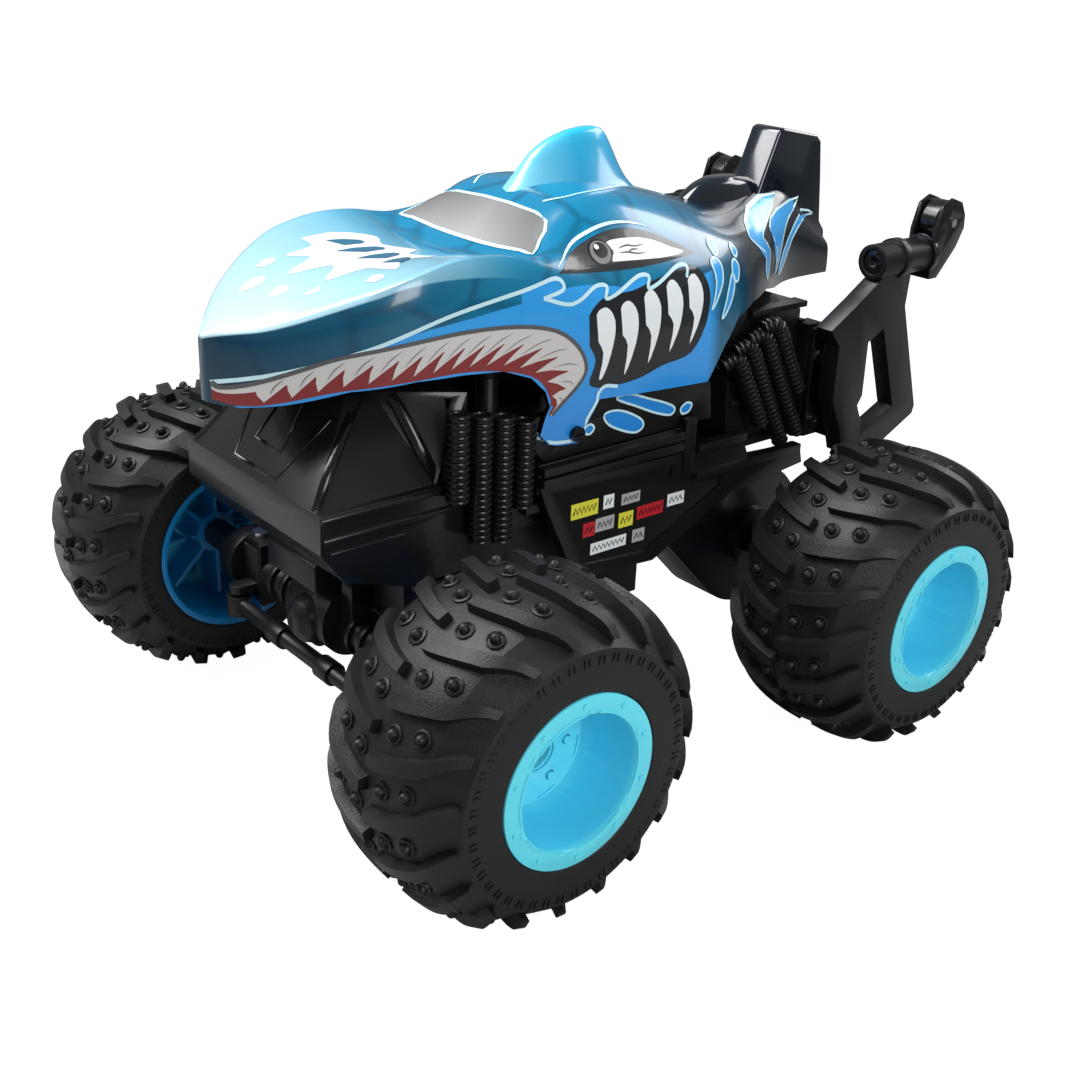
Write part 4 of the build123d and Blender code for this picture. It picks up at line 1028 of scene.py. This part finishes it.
# ---------------------------------------------------------------- print on the shell
class Print:
    """Thin printed shapes laid on the pieces named, seen along X or from above."""

    def __init__(self, pieces, slot="shell_blue"):
        graph = bpy.context.evaluated_depsgraph_get()
        self.slot = slot
        self.trees = [BVHTree.FromObject(piece, graph) for piece in pieces]

    def drop(self, side, u, v, lift):
        """The point at (y, z) on one side, or (x, y) from above when side is 0, raised by lift."""
        if side:
            start, way = at(side * 90, u, v), Vector((-side, 0, 0))
        else:
            start, way = at(u, v, 240), Vector((0, 0, -1))
        best = None
        for tree in self.trees:
            spot, normal, _, distance = tree.ray_cast(start, way)
            if spot is not None and (best is None or distance < best[2]):
                best = (spot, normal, distance)
        if best is None:
            return None
        spot, normal, _ = best
        if normal.dot(way) > 0:
            normal = -normal
        return spot + normal * lift * MM

    def lay(self, name, material, flat, faces, side, lift):
        spots = [self.drop(side, u, v, lift) for u, v in flat]
        kept = [face for face in faces if all(spots[index] is not None for index in face)]
        used = sorted({index for face in kept for index in face})
        order = {index: place for place, index in enumerate(used)}
        faces = [tuple(order[index] for index in face) for face in kept]
        mesh = bpy.data.meshes.new(name)
        mesh.from_pydata([tuple(spots[index]) for index in used], [], faces)
        form = bmesh.new()
        form.from_mesh(mesh)
        outward = Vector((side, 0, 0)) if side else Vector((0, 0, 1))
        for face in form.faces:
            if face.normal.dot(outward) < 0:
                face.normal_flip()
        form.to_mesh(mesh)
        form.free()
        soften(mesh, 60)
        return fit(show(name, mesh, material), CHASSIS, self.slot)

    def patch(self, name, material, outline, side, lift=0.15, round_off=0, cell=2.4):
        """Filled shape; round_off adds smooth points between the corners."""
        if round_off:
            closed = [*outline[-2:], *outline, *outline[:2]]
            outline = [tuple(point) for point in spline(closed, round_off)[2 * round_off:-2 * round_off]][:-1]
        triangles = tessellate_polygon([[Vector((u, v, 0)) for u, v in outline]])
        form = bmesh.new()
        corners = [form.verts.new((u, v, 0)) for u, v in outline]
        for triangle in triangles:
            if len({*triangle}) == 3:
                form.faces.new([corners[index] for index in triangle])
        for _ in range(5):
            long = [edge for edge in form.edges if edge.calc_length() > cell]
            if not long:
                break
            bmesh.ops.subdivide_edges(form, edges=long, cuts=1, use_grid_fill=False)
            bmesh.ops.triangulate(form, faces=[face for face in form.faces if len(face.verts) > 3])
        form.verts.index_update()
        flat = [(vert.co.x, vert.co.y) for vert in form.verts]
        faces = [tuple(vert.index for vert in face.verts) for face in form.faces]
        form.free()
        return self.lay(name, material, flat, faces, side, lift)

    def stroke(self, name, material, route, width, side, lift=0.2, smooth=4, closed=False, taper=False):
        """Line of even width along the route, or pointed at both ends."""
        if closed:
            chain = [route[-1], *route, route[0], route[1]]
            dense = spline(chain, smooth)[smooth:-smooth]
        else:
            dense = spline(route, smooth)
        flat = []
        last = len(dense) - 1
        for index, point in enumerate(dense):
            way = (dense[min(index + 1, last)] - dense[max(index - 1, 0)]).normalized()
            reach = width / 2
            if taper:
                reach *= max(sin(pi * index / last) ** 0.6, 0.06)
            for share in (-1, 0, 1):
                flat.append((point.x - way.y * reach * share, point.y + way.x * reach * share))
        faces = []
        for index in range(last):
            for share in (0, 1):
                first = index * 3 + share
                faces.append((first, first + 1, first + 4, first + 3))
        return self.lay(name, material, flat, faces, side, lift)


MOUTH_TOP = [(-129, 148), (-125, 147.5), (-100, 159), (-65, 163.5), (-33, 160), (-20.5, 146), (-33, 132)]
MOUTH_BOTTOM = [(-129, 142.5), (-122, 142), (-100, 148.5), (-66, 151), (-42, 146.5), (-34, 138),
                (-35, 132)]
MOUTH_STEPS = 96
TOOTH_COUNT = 16
EYE_FRONT = Vector((-30, 177))
EYE_BACK = Vector((33, 176))
EYE_RISE = 10.0
EYE_DROP = -1.7
BROW_GAP = 1.6
EYE_WHITE = [(-5.5, 177.6), (-4, 180.4), (-6, 182.6), (-3, 183.6), (6, 183.4), (14, 182), (22, 179),
             (27.5, 176.8), (18, 176.4), (6, 177)]
EYE_LID = [(-27, 177.6), (-23.5, 180.4), (-18, 182.6), (-11, 184.6), (-4, 184.9), (-6.2, 182.4),
           (-4, 180.2), (-5.6, 177.4), (-14, 177.4)]
VEINS = [
    [(-2, 181), (2, 181.6), (6, 181), (11, 181.2)],
    [(-2.2, 179.8), (2, 179.6), (6, 178.8), (11, 178.8)],
    [(2, 179.6), (4, 180.2), (7, 180)],
]
WAVE_CREST = [(-129, 148), (-100, 159), (-75, 168), (-45, 173.5), (-32, 176), (-29, 172.5), (-37, 170.5)]
RIPPLE_COUNT = 3
RIPPLE_PITCH = 19.0
RIPPLE_START = (-28, 167.5)
RIPPLE_CLIMB = 0.8
CURL_FRONT = -46
MARK_PITCH = 0.95
MARK_MARGIN = 1.1
WAVE_FOOT = 163.0
SPLASH_EDGE = [(-37, 126), (-35.9, 124), (-31, 122.2), (-22.6, 122.2), (-19.5, 125.4), (-19, 128.4),
               (-15.5, 133.6), (-14.8, 136.6), (-12, 138.6), (-6.5, 137.6)]
DROPS = {
    "long": [(-7.3, 126.2), (-3, 127), (3, 125.4), (10.2, 121.4), (11.4, 118.4), (8, 117), (2, 118.8),
             (-5, 122.4)],
    "streak": [(-2, 131), (4, 131.6), (14, 128), (22, 125), (26.4, 122.4), (24.6, 120.2), (17, 122.4),
               (8, 126.4)],
    "small": [(29.6, 121.6), (32.4, 123.2), (35, 122.2), (33.8, 119.8), (30.6, 119.4)],
    "dot": [(-15.6, 123.4), (-13.4, 124.2), (-11.6, 122.6), (-13.2, 120.8), (-15.6, 121.4)],
    "high": [(42.5, 177), (44.4, 178.6), (46.4, 177.4), (45.8, 174.4), (43.6, 173.8)],
    "drip": [(40.4, 172), (43, 173), (45.8, 170.4), (45.2, 165.6), (41.8, 160.6), (38, 156.6),
             (40.6, 162.6), (41.4, 167.6)],
    "rear": [(52.6, 169.6), (55.4, 170.6), (57, 167.6), (54.4, 163.6), (52, 165.4)],
    "rear_top": [(55.6, 174.4), (57.6, 175.2), (58.8, 172.6), (57, 171.2), (55.4, 172.4)],
    "fall": [(51, 166.4), (52.6, 165), (50.8, 160), (46.4, 154.6), (43.4, 152.8), (45.6, 157.2),
             (48, 162)],
}
SLASHES = [
    [(-16.5, 163), (-12, 164.6), (-8.6, 160), (-9.4, 152), (-12.8, 143), (-15, 141.6), (-13.6, 150),
     (-16.8, 156)],
    [(-6, 163.6), (-2, 165.4), (1.6, 160.4), (0.6, 151), (-4, 141), (-3, 151), (-6.4, 156.6)],
    [(4.6, 165.6), (8.6, 167.6), (12.2, 161.8), (11, 152.6), (6.6, 143.4), (7.6, 152.6), (4, 158.6)],
    [(15.4, 167.6), (19.4, 169.2), (23, 163.4), (21.6, 154.4), (16.6, 145.6), (18.2, 154.8),
     (14.6, 160.4)],
    [(26.2, 168.2), (30.4, 169.6), (33.6, 163.6), (32, 155.4), (26.6, 146.6), (28.6, 155.6),
     (25.2, 161)],
]
SLASH_BACK = [(-19.4, 163), (-12, 168), (0, 168.4), (12, 170.6), (30, 172.4), (37, 165), (35.6, 154),
              (28, 143.6), (14, 141.4), (2, 138.6), (-12, 138.2), (-18.8, 140.4), (-16.6, 148),
              (-20, 155)]
CLAWS = [
    [(76, 173.6), (92, 180.4), (112, 183), (96, 175.4), (88, 171.6), (93, 166), (86, 157.4), (84.4, 162),
     (86.6, 167)],
    [(97, 173.4), (108, 178), (128, 180), (116, 173.8), (110, 168.6), (104, 160), (99, 156.2),
     (102, 165)],
    [(138, 172.6), (128, 171.6), (118, 166), (110, 157), (104, 154.6), (109, 162), (120, 170.6),
     (130, 174.8)],
]
ROOF_LINE = [(18.5, -14), (22.5, -8), (22, 0), (19.5, 10), (15.5, 19), (11.5, 28), (11, 36), (14, 43),
             (12, 48), (7, 44)]
WINDSCREEN = [(-36.6, -32.6), (-30, -32), (-18, -31.6), (0, -31.4), (18, -31.6), (30, -32),
              (36.6, -32.6), (33, -27), (28, -20.4), (14, -18.8), (0, -18.6), (-14, -18.8), (-28, -20.4),
              (-33, -27)]
HOOD_SPLASH = [(-22, -70), (-14, -58), (-4, -62), (6, -56), (14, -64), (26, -62), (22, -72), (30, -80),
               (20, -84), (16, -96), (8, -88), (0, -100), (-5, -88), (-14, -92), (-14, -82), (-26, -80)]
HOOD_BLOBS = [
    [(-8, -112), (-4.4, -110.6), (-3.4, -106.4), (-7, -104), (-10.6, -107.6)],
    [(6, -110), (9, -108.6), (9.4, -105), (6.2, -103.8), (4, -107)],
    [(-17, -101), (-13.8, -100), (-13.2, -96.4), (-16.4, -95), (-19, -98.4)],
    [(16.6, -103.6), (19, -102.4), (19, -99.8), (16.6, -99.4)],
    [(28.6, -90), (31.6, -88.4), (31.6, -85.4), (28.8, -85), (27, -87.8)],
]
HOOD_MARKS = [
    [(-16, -76), (-11, -66), (-7, -68), (-10, -79)],
    [(-4, -80), (-2, -66), (3, -66), (2, -80)],
    [(8, -80), (9, -67), (14, -68), (15, -79)],
    [(19, -78), (19, -69), (23, -70), (25, -78)],
]
PATCHES = [("yellow", -20.5, -8, 90.6, 96.6), ("white", -5.6, -0.6, 91.2, 96.6),
           ("grey", 3, 12, 90.6, 95), ("red", -14.6, -9, 82.6, 88.2), ("grey", -8.8, 0, 83.2, 88.6),
           ("yellow", 2.2, 9.2, 82, 88), ("red", 11, 24, 83.2, 88.4), ("white", 26, 34.6, 84.6, 89.6),
           ("white", -10.6, 6.4, 75, 79.6), ("grey", 9.4, 15.4, 74.6, 79.8)]


def evenly(line, count):
    """Points the same distance apart along a dense line."""
    lengths = [0.0]
    for start, end in zip(line, line[1:]):
        lengths.append(lengths[-1] + (end - start).length)
    points, place = [], 0
    for step in range(count + 1):
        wanted = lengths[-1] * step / count
        while place < len(line) - 2 and lengths[place + 1] < wanted:
            place += 1
        span = lengths[place + 1] - lengths[place]
        points.append(line[place].lerp(line[place + 1], (wanted - lengths[place]) / span if span else 0.0))
    return points


def eye_arc(height, steps=14):
    """Arc from the front to the back corner of the eye, bulging by height."""
    arc = []
    for step in range(steps + 1):
        spot = EYE_FRONT.lerp(EYE_BACK, step / steps)
        arc.append((spot.x, spot.y + height * sin(pi * step / steps)))
    return arc


def ripples():
    """Row of small waves behind the big curl, each with a hooked top."""
    points = [WAVE_CREST[-1]]
    for index in range(RIPPLE_COUNT):
        y, z = RIPPLE_START[0] + RIPPLE_PITCH * index, RIPPLE_START[1] + RIPPLE_CLIMB * index
        points += [(y + 2, z), (y + 12, z + 4), (y + 17, z + 3.5), (y + 16, z)]
    return points


def wave_body():
    """Area between the curl, the ripples and the foot of the wave."""
    curl = [point for point in WAVE_CREST if point[0] > CURL_FRONT]
    top = [tuple(point) for point in spline([*curl, *ripples()[1:]], 3)]
    return [*top, (top[-1][0], WAVE_FOOT), (top[0][0], WAVE_FOOT)]


class TRUCK_OT_print(bpy.types.Operator):
    """Lay the face, the waves and the splashes on the shell and panels"""
    bl_idname = "truck.print"
    bl_label = "Printed face and waves"

    def execute(self, context):
        objects = bpy.data.objects
        shell = Print([objects["shark_shell_skin"]])
        both = Print([objects[name] for name in ("shark_shell_skin", "side_skirt_left_finished",
                                                 "side_skirt_right_finished")])
        rear = Print([objects[name] for name in ("shark_shell_skin", "tail_fin")])
        panel = Print([objects[f"side_panel_{word}_finished"] for word in ("left", "right")])
        for side, word in ((1, "left"), (-1, "right")):
            self.mouth(shell, side, word)
            self.eye(shell, side, word)
            self.waves(shell, both, rear, side, word)
            for index, (kind, y0, y1, z0, z1) in enumerate(PATCHES):
                outline = [(y0, z0 + 0.2), (y1, z0), (y1, z1 - 0.2), (y0, z1)]
                panel.patch(f"patch_{index}_{word}", MATERIALS[kind], outline, side, 0.12)
                count = max(int((y1 - y0 - 2.0) / MARK_PITCH), 3)
                route = [(y0 + MARK_MARGIN + (y1 - y0 - 2 * MARK_MARGIN) * step / count,
                          (z0 + z1) / 2 + (z1 - z0) * (0.2 if step % 2 else -0.2))
                         for step in range(count + 1)]
                panel.stroke(f"patch_mark_{index}_{word}", MATERIALS["ink"], route, 0.6, side, 0.2, 1)
        self.hood(shell)
        return {"FINISHED"}

    def mouth(self, shell, side, word):
        top = evenly(spline(MOUTH_TOP, 16), MOUTH_STEPS)
        bottom = evenly(spline(MOUTH_BOTTOM, 16), MOUTH_STEPS)
        last = len(top) - 1

        def band(name, material, low, high, lift):
            flat = []
            for upper, lower in zip(top, bottom):
                for step in range(4):
                    point = lower.lerp(upper, low + (high - low) * step / 3)
                    flat.append((point.x, point.y))
            faces = []
            for index in range(last):
                for step in range(3):
                    first = index * 4 + step
                    faces.append((first, first + 1, first + 5, first + 4))
            shell.lay(name, material, flat, faces, side, lift)

        band(f"gum_{word}", MATERIALS["gum"], 0.0, 1.0, 0.1)
        band(f"tooth_band_{word}", MATERIALS["tooth"], 0.62, 1.0, 0.18)
        for tooth in range(TOOTH_COUNT):
            start = 0.07 + 0.9 * tooth / TOOTH_COUNT
            end = start + 0.9 / TOOTH_COUNT

            def spot(share, height):
                place = share * last
                index = min(int(place), last - 1)
                upper = top[index].lerp(top[index + 1], place - index)
                lower = bottom[index].lerp(bottom[index + 1], place - index)
                return lower.lerp(upper, height)

            width = end - start
            outline = [spot(start, 0.66), spot(start + width * 0.1, 0.42), spot(start + width * 0.36, 0.13),
                       spot(start + width * 0.62, 0.36), spot(end, 0.66)]
            outline = [(point.x, point.y) for point in outline]
            shell.patch(f"tooth_{tooth}_{word}", MATERIALS["tooth"], outline, side, 0.2, 0)
            line = [spot(start + width * 0.86, 0.86), spot(start + width * 0.6, 0.68),
                    spot(start + width * 0.5, 0.4)]
            shell.stroke(f"groove_{tooth}_{word}", MATERIALS["groove"],
                         [(point.x, point.y) for point in line], 0.35, side, 0.26, taper=True)
        shell.stroke(f"lip_{word}", MATERIALS["lip"], MOUTH_TOP, 1.3, side, 0.24, 14)

    def eye(self, shell, side, word):
        almond = [*eye_arc(EYE_RISE), *reversed(eye_arc(EYE_DROP)[1:-1])]
        shell.patch(f"eye_rim_{word}", MATERIALS["ink"], almond, side, 0.1)
        shell.patch(f"eye_lid_{word}", MATERIALS["lid"], EYE_LID, side, 0.16, 4)
        shell.patch(f"eye_white_{word}", MATERIALS["white"], EYE_WHITE, side, 0.2, 4)
        centre = Vector((-9.4, 180.6))
        for label, material, reach, shift, lift in (
            ("iris_edge", "ink", 4.3, (0, 0), 0.24), ("iris", "iris", 3.7, (0, 0), 0.3),
            ("pupil", "ink", 2.5, (0.2, 0.6), 0.36), ("glint", "white", 0.8, (-1.0, 1.6), 0.42),
        ):
            outline = []
            for index in range(20):
                angle = 2 * pi * index / 20
                spot = centre + Vector(shift) + Vector((cos(angle) * 1.12, sin(angle) * 0.88)) * reach
                outline.append((spot.x, spot.y))
            shell.patch(f"eye_{label}_{word}", MATERIALS[material], outline, side, lift)
        for index, route in enumerate(VEINS):
            shell.stroke(f"vein_{index}_{word}", MATERIALS["lid"], route, 0.5, side, 0.26, taper=True)
        brow = [(y, z + BROW_GAP) for y, z in eye_arc(EYE_RISE)[:11]]
        shell.stroke(f"brow_{word}", MATERIALS["pale"], brow, 0.9, side, 0.16, taper=True)

    def waves(self, shell, both, rear, side, word):
        shell.patch(f"wave_fill_{word}", MATERIALS["bright"], wave_body(), side, 0.08)
        for index, route in enumerate((WAVE_CREST, ripples())):
            shell.stroke(f"wave_{index}_{word}", MATERIALS["pale"], route, 1.25, side, 0.22, smooth=6)
        both.stroke(f"splash_edge_{word}", MATERIALS["pale"], SPLASH_EDGE, 1.2, side, 0.2, smooth=5)
        shell.patch(f"slash_back_{word}", MATERIALS["ink"], SLASH_BACK, side, 0.14, 4)
        for index, outline in enumerate(SLASHES):
            shell.patch(f"slash_{index}_{word}", MATERIALS["white"], outline, side, 0.22, 3)
        for label, outline in DROPS.items():
            both.patch(f"drop_{label}_{word}", MATERIALS["bright"], outline, side, 0.18, 4)
            both.stroke(f"drop_edge_{label}_{word}", MATERIALS["pale"], outline, 0.8, side, 0.26, closed=True)
        for index, outline in enumerate(CLAWS):
            rear.patch(f"claw_{index}_{word}", MATERIALS["bright"], outline, side, 0.14, 2)
            rear.stroke(f"claw_edge_{index}_{word}", MATERIALS["pale"], outline, 0.8, side, 0.22, smooth=2,
                        closed=True)

    def hood(self, shell):
        glass = shell.patch("windscreen_print", MATERIALS["windscreen"], WINDSCREEN, 0, 0.16, 0)
        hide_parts("windscreen")
        shell.stroke("windscreen_edge", MATERIALS["pale"], WINDSCREEN, 1.0, 0, 0.26, smooth=2, closed=True)
        for side in (-1, 1):
            route = [(side * x, y) for x, y in ROOF_LINE]
            shell.stroke(f"roof_line_{side + 1}", MATERIALS["pale"], route, 0.9, 0, 0.18)
        shell.patch("hood_splash", MATERIALS["white"], HOOD_SPLASH, 0, 0.12, 3)
        for index, outline in enumerate(HOOD_BLOBS):
            shell.patch(f"hood_blob_{index}", MATERIALS["white"], outline, 0, 0.14, 4)
        for index, outline in enumerate(HOOD_MARKS):
            shell.patch(f"hood_mark_{index}", MATERIALS["sea"], outline, 0, 0.24, 2)


# ---------------------------------------------------------------- trim
SATIN_NODES = [
    "chassis_tub", "chassis_deck", "front_axle_housing", "lower_bumper", "side_panel_left",
    "side_panel_right",
    "side_skirt_left", "side_skirt_right", "stunt_arm_left", "stunt_arm_right", "gearbox_case",
    "gearbox_cover",
    "rear_axle_tubes", "engine_cover",
]


DARK_NODES = {"cheek_screws": "dark_steel", "wheel_nut_front_left": "dark_steel",
              "wheel_nut_front_right": "dark_steel", "rear_wheel_nuts": "dark_steel"}
COWL_BARS = [
    ([(38, -115), (21, -87)], 2.2, 0.6), ([(20, -82), (39, -72)], 2.2, 0.6),
    ([(0, -114), (13, -114), (22, -99)], 0.9, 0.35), ([(0, -109), (8, -109), (6, -99)], 0.9, 0.35),
]


class TRUCK_OT_trim(bpy.types.Operator):
    """Soften the edges of the black parts and give every other solid its finish"""
    bl_idname = "truck.trim"
    bl_label = "Black trim and small parts"

    def execute(self, context):
        for node in SATIN_NODES:
            finished(node, CHASSIS, "black_satin", MATERIALS["satin"])
        finished("battery_door", "battery_door", "black_satin", MATERIALS["satin"])
        finished("tie_rod", "tie_rod", "black_satin", MATERIALS["satin"], 0.2)
        finished("front_cowl", CHASSIS, "black_gloss", MATERIALS["cowl"], 0.5)
        for word in ("left", "right"):
            finished(f"steering_knuckle_{word}", f"knuckle_{word}", "black_satin", MATERIALS["satin"], 0.2)
            finished(f"castor_fork_{word}", f"castor_fork_{word}", "black_gloss", MATERIALS["gloss"], 0.25)
            finished(f"castor_wheel_{word}", f"castor_wheel_{word}", "castor_roller", MATERIALS["gloss"], 0)
        finishes = {
            "steel": "steel", "bronze": "bronze", "gear_white": "nylon", "motor_can": "steel",
            "electronics_black": "satin", "battery_wrap": "wrap", "board_green": "board",
        }
        slots = {part["node"]: part["material_slot"] for part in frame["record"]["subparts"]}
        for name, node in frame["nodes"].items():
            if slots[name] in finishes and not node.hide_render:
                node.data.materials.clear()
                node.data.materials.append(MATERIALS[DARK_NODES.get(name, finishes[slots[name]])])
        self.cowl_bars()
        return {"FINISHED"}

    def cowl_bars(self):
        """Raised bars on the edges and the front face of the cowl."""
        cowl = Print([bpy.data.objects["front_cowl_finished"]], "black_gloss")
        bars = [(side, *bar) for side in (1, -1) for bar in COWL_BARS]
        for index, (side, route, width, height) in enumerate(bars):
            mirrored = [(side * x, y) for x, y in route]
            smooth = 3 if len(route) == 2 else 1
            bar = cowl.stroke(f"cowl_bar_{index}", MATERIALS["gloss"], mirrored, width, 0, height, smooth)
            depth = bar.modifiers.new("depth", "SOLIDIFY")
            depth.thickness = (height + 0.3) * MM
            depth.offset = -1
            settle(bar)


# ---------------------------------------------------------------- stage
CAMERA_PLACE = (374.5, -316.3, 281.6)
CAMERA_YAW = radians(49.24)
CAMERA_PITCH = radians(24.2)
CAMERA_ROLL = radians(2.27)
CAMERA_LENS = 47.0


def add_lamp(name, place, aim, size, power, colour=(1, 1, 1)):
    lamp = bpy.data.lights.new(name, "AREA")
    lamp.shape = "RECTANGLE"
    lamp.size, lamp.size_y = size
    lamp.energy = power
    lamp.color = colour
    holder = bpy.data.objects.new(name, lamp)
    bpy.context.scene.collection.objects.link(holder)
    holder.location = Vector(place)
    holder.rotation_euler = (Vector(aim) - Vector(place)).to_track_quat("-Z", "Y").to_euler()
    return holder


class TRUCK_OT_stage(bpy.types.Operator):
    """Set up the camera, the floor, the lamps and the pale surroundings"""
    bl_idname = "truck.stage"
    bl_label = "Stage"

    def execute(self, context):
        scene = context.scene
        lens = bpy.data.cameras.new("camera")
        lens.lens = CAMERA_LENS
        lens.sensor_width = 36
        lens.clip_start = 0.01
        camera = bpy.data.objects.new("camera", lens)
        scene.collection.objects.link(camera)
        forward = Vector((-sin(CAMERA_YAW) * cos(CAMERA_PITCH), cos(CAMERA_YAW) * cos(CAMERA_PITCH),
                          -sin(CAMERA_PITCH)))
        level = Vector((cos(CAMERA_YAW), sin(CAMERA_YAW), 0))
        upward = level.cross(forward)
        across = level * cos(CAMERA_ROLL) + upward * sin(CAMERA_ROLL)
        upward = upward * cos(CAMERA_ROLL) - level * sin(CAMERA_ROLL)
        turned = Matrix((across, upward, -forward)).transposed().to_4x4()
        camera.matrix_world = Matrix.Translation(at(*CAMERA_PLACE)) @ turned
        scene.camera = camera

        form = bmesh.new()
        bmesh.ops.create_grid(form, x_segments=1, y_segments=1, size=14)
        mesh = bpy.data.meshes.new("floor")
        form.to_mesh(mesh)
        form.free()
        floor_shader = Shader("floor", (0.86, 0.86, 0.86), 0.9)
        tree = floor_shader.tree
        glow = floor_shader.node("ShaderNodeEmission", Color=(1, 1, 1, 1), Strength=1.12)
        rays = floor_shader.node("ShaderNodeLightPath")
        seen = floor_shader.math("MAXIMUM", rays.outputs["Is Camera Ray"],
                                 rays.outputs["Is Transmission Ray"])
        floor_shader.paint(floor_shader.mix(seen, (0.3, 0.3, 0.3), (0.86, 0.86, 0.86)))
        blend = floor_shader.node("ShaderNodeMixShader")
        share = floor_shader.math("MULTIPLY", seen, 0.88)
        tree.links.new(share, blend.inputs[0])
        tree.links.new(floor_shader.body.outputs[0], blend.inputs[1])
        tree.links.new(glow.outputs[0], blend.inputs[2])
        tree.links.new(blend.outputs[0], tree.nodes["Material Output"].inputs[0])
        show("floor", mesh, floor_shader.material)

        world = bpy.data.worlds.new("surroundings")
        scene.world = world
        world.use_nodes = True
        nodes, links = world.node_tree.nodes, world.node_tree.links
        light_path = nodes.new("ShaderNodeLightPath")
        blend = nodes.new("ShaderNodeMixShader")
        plain_light = nodes["Background"]
        plain_light.inputs["Color"].default_value = (1, 1, 1, 1)
        plain_light.inputs["Strength"].default_value = 0.22
        white = nodes.new("ShaderNodeBackground")
        white.inputs["Color"].default_value = (1, 1, 1, 1)
        white.inputs["Strength"].default_value = 1.0
        links.new(light_path.outputs["Is Camera Ray"], blend.inputs[0])
        links.new(plain_light.outputs[0], blend.inputs[1])
        links.new(white.outputs[0], blend.inputs[2])
        links.new(blend.outputs[0], nodes["World Output"].inputs[0])

        middle = (0, 0, 0.1)
        lamps = [
            add_lamp("top lamp", (-0.3, -0.3, 1.2), middle, (0.7, 0.7), 17.0),
            add_lamp("front lamp", (-0.6, -0.7, 1.0), middle, (0.6, 0.6), 9.0),
            add_lamp("side lamp", (1.1, -0.15, 0.55), middle, (0.5, 0.6), 6.5),
            add_lamp("rear lamp", (0.2, 1.1, 0.8), middle, (0.9, 0.5), 8.0),
        ]
        scene.view_settings.view_transform = "Standard"
        return {"FINISHED"}


class TRUCK_PT_panel(bpy.types.Panel):
    """Lists the truck's settings and builders"""
    bl_idname = "TRUCK_PT_panel"
    bl_label = "Stunt Truck"
    bl_space_type = "VIEW_3D"
    bl_region_type = "UI"
    bl_category = "Stunt Truck"

    def draw(self, context):
        for group in (context.scene.truck_tyres, context.scene.truck_paint, context.scene.truck_pipes):
            box = self.layout.box()
            for name in group.__annotations__:
                box.prop(group, name)
        for builder in BUILDERS:
            self.layout.operator(builder.bl_idname)


SETTINGS = {"truck_tyres": TyreSettings, "truck_paint": PaintSettings, "truck_pipes": PipeSettings}
BUILDERS = [TRUCK_OT_stage, TRUCK_OT_tyres, TRUCK_OT_rims, TRUCK_OT_pipes, TRUCK_OT_shell, TRUCK_OT_trim,
            TRUCK_OT_print]
MATERIALS = {}


def register():
    for group in SETTINGS.values():
        bpy.utils.register_class(group)
    for name, group in SETTINGS.items():
        setattr(bpy.types.Scene, name, PointerProperty(type=group))
    for builder in (*BUILDERS, TRUCK_PT_panel):
        bpy.utils.register_class(builder)


def unregister():
    for builder in reversed((*BUILDERS, TRUCK_PT_panel)):
        bpy.utils.unregister_class(builder)
    for name, group in SETTINGS.items():
        delattr(bpy.types.Scene, name)
        bpy.utils.unregister_class(group)


def main():
    register()
    MATERIALS.update(make_materials())
    bpy.ops.truck.stage()
    bpy.ops.truck.tyres()
    bpy.ops.truck.rims()
    bpy.ops.truck.pipes()
    bpy.ops.truck.shell()
    bpy.ops.truck.trim()
    bpy.ops.truck.print()


if __name__ == "__main__":
    main()
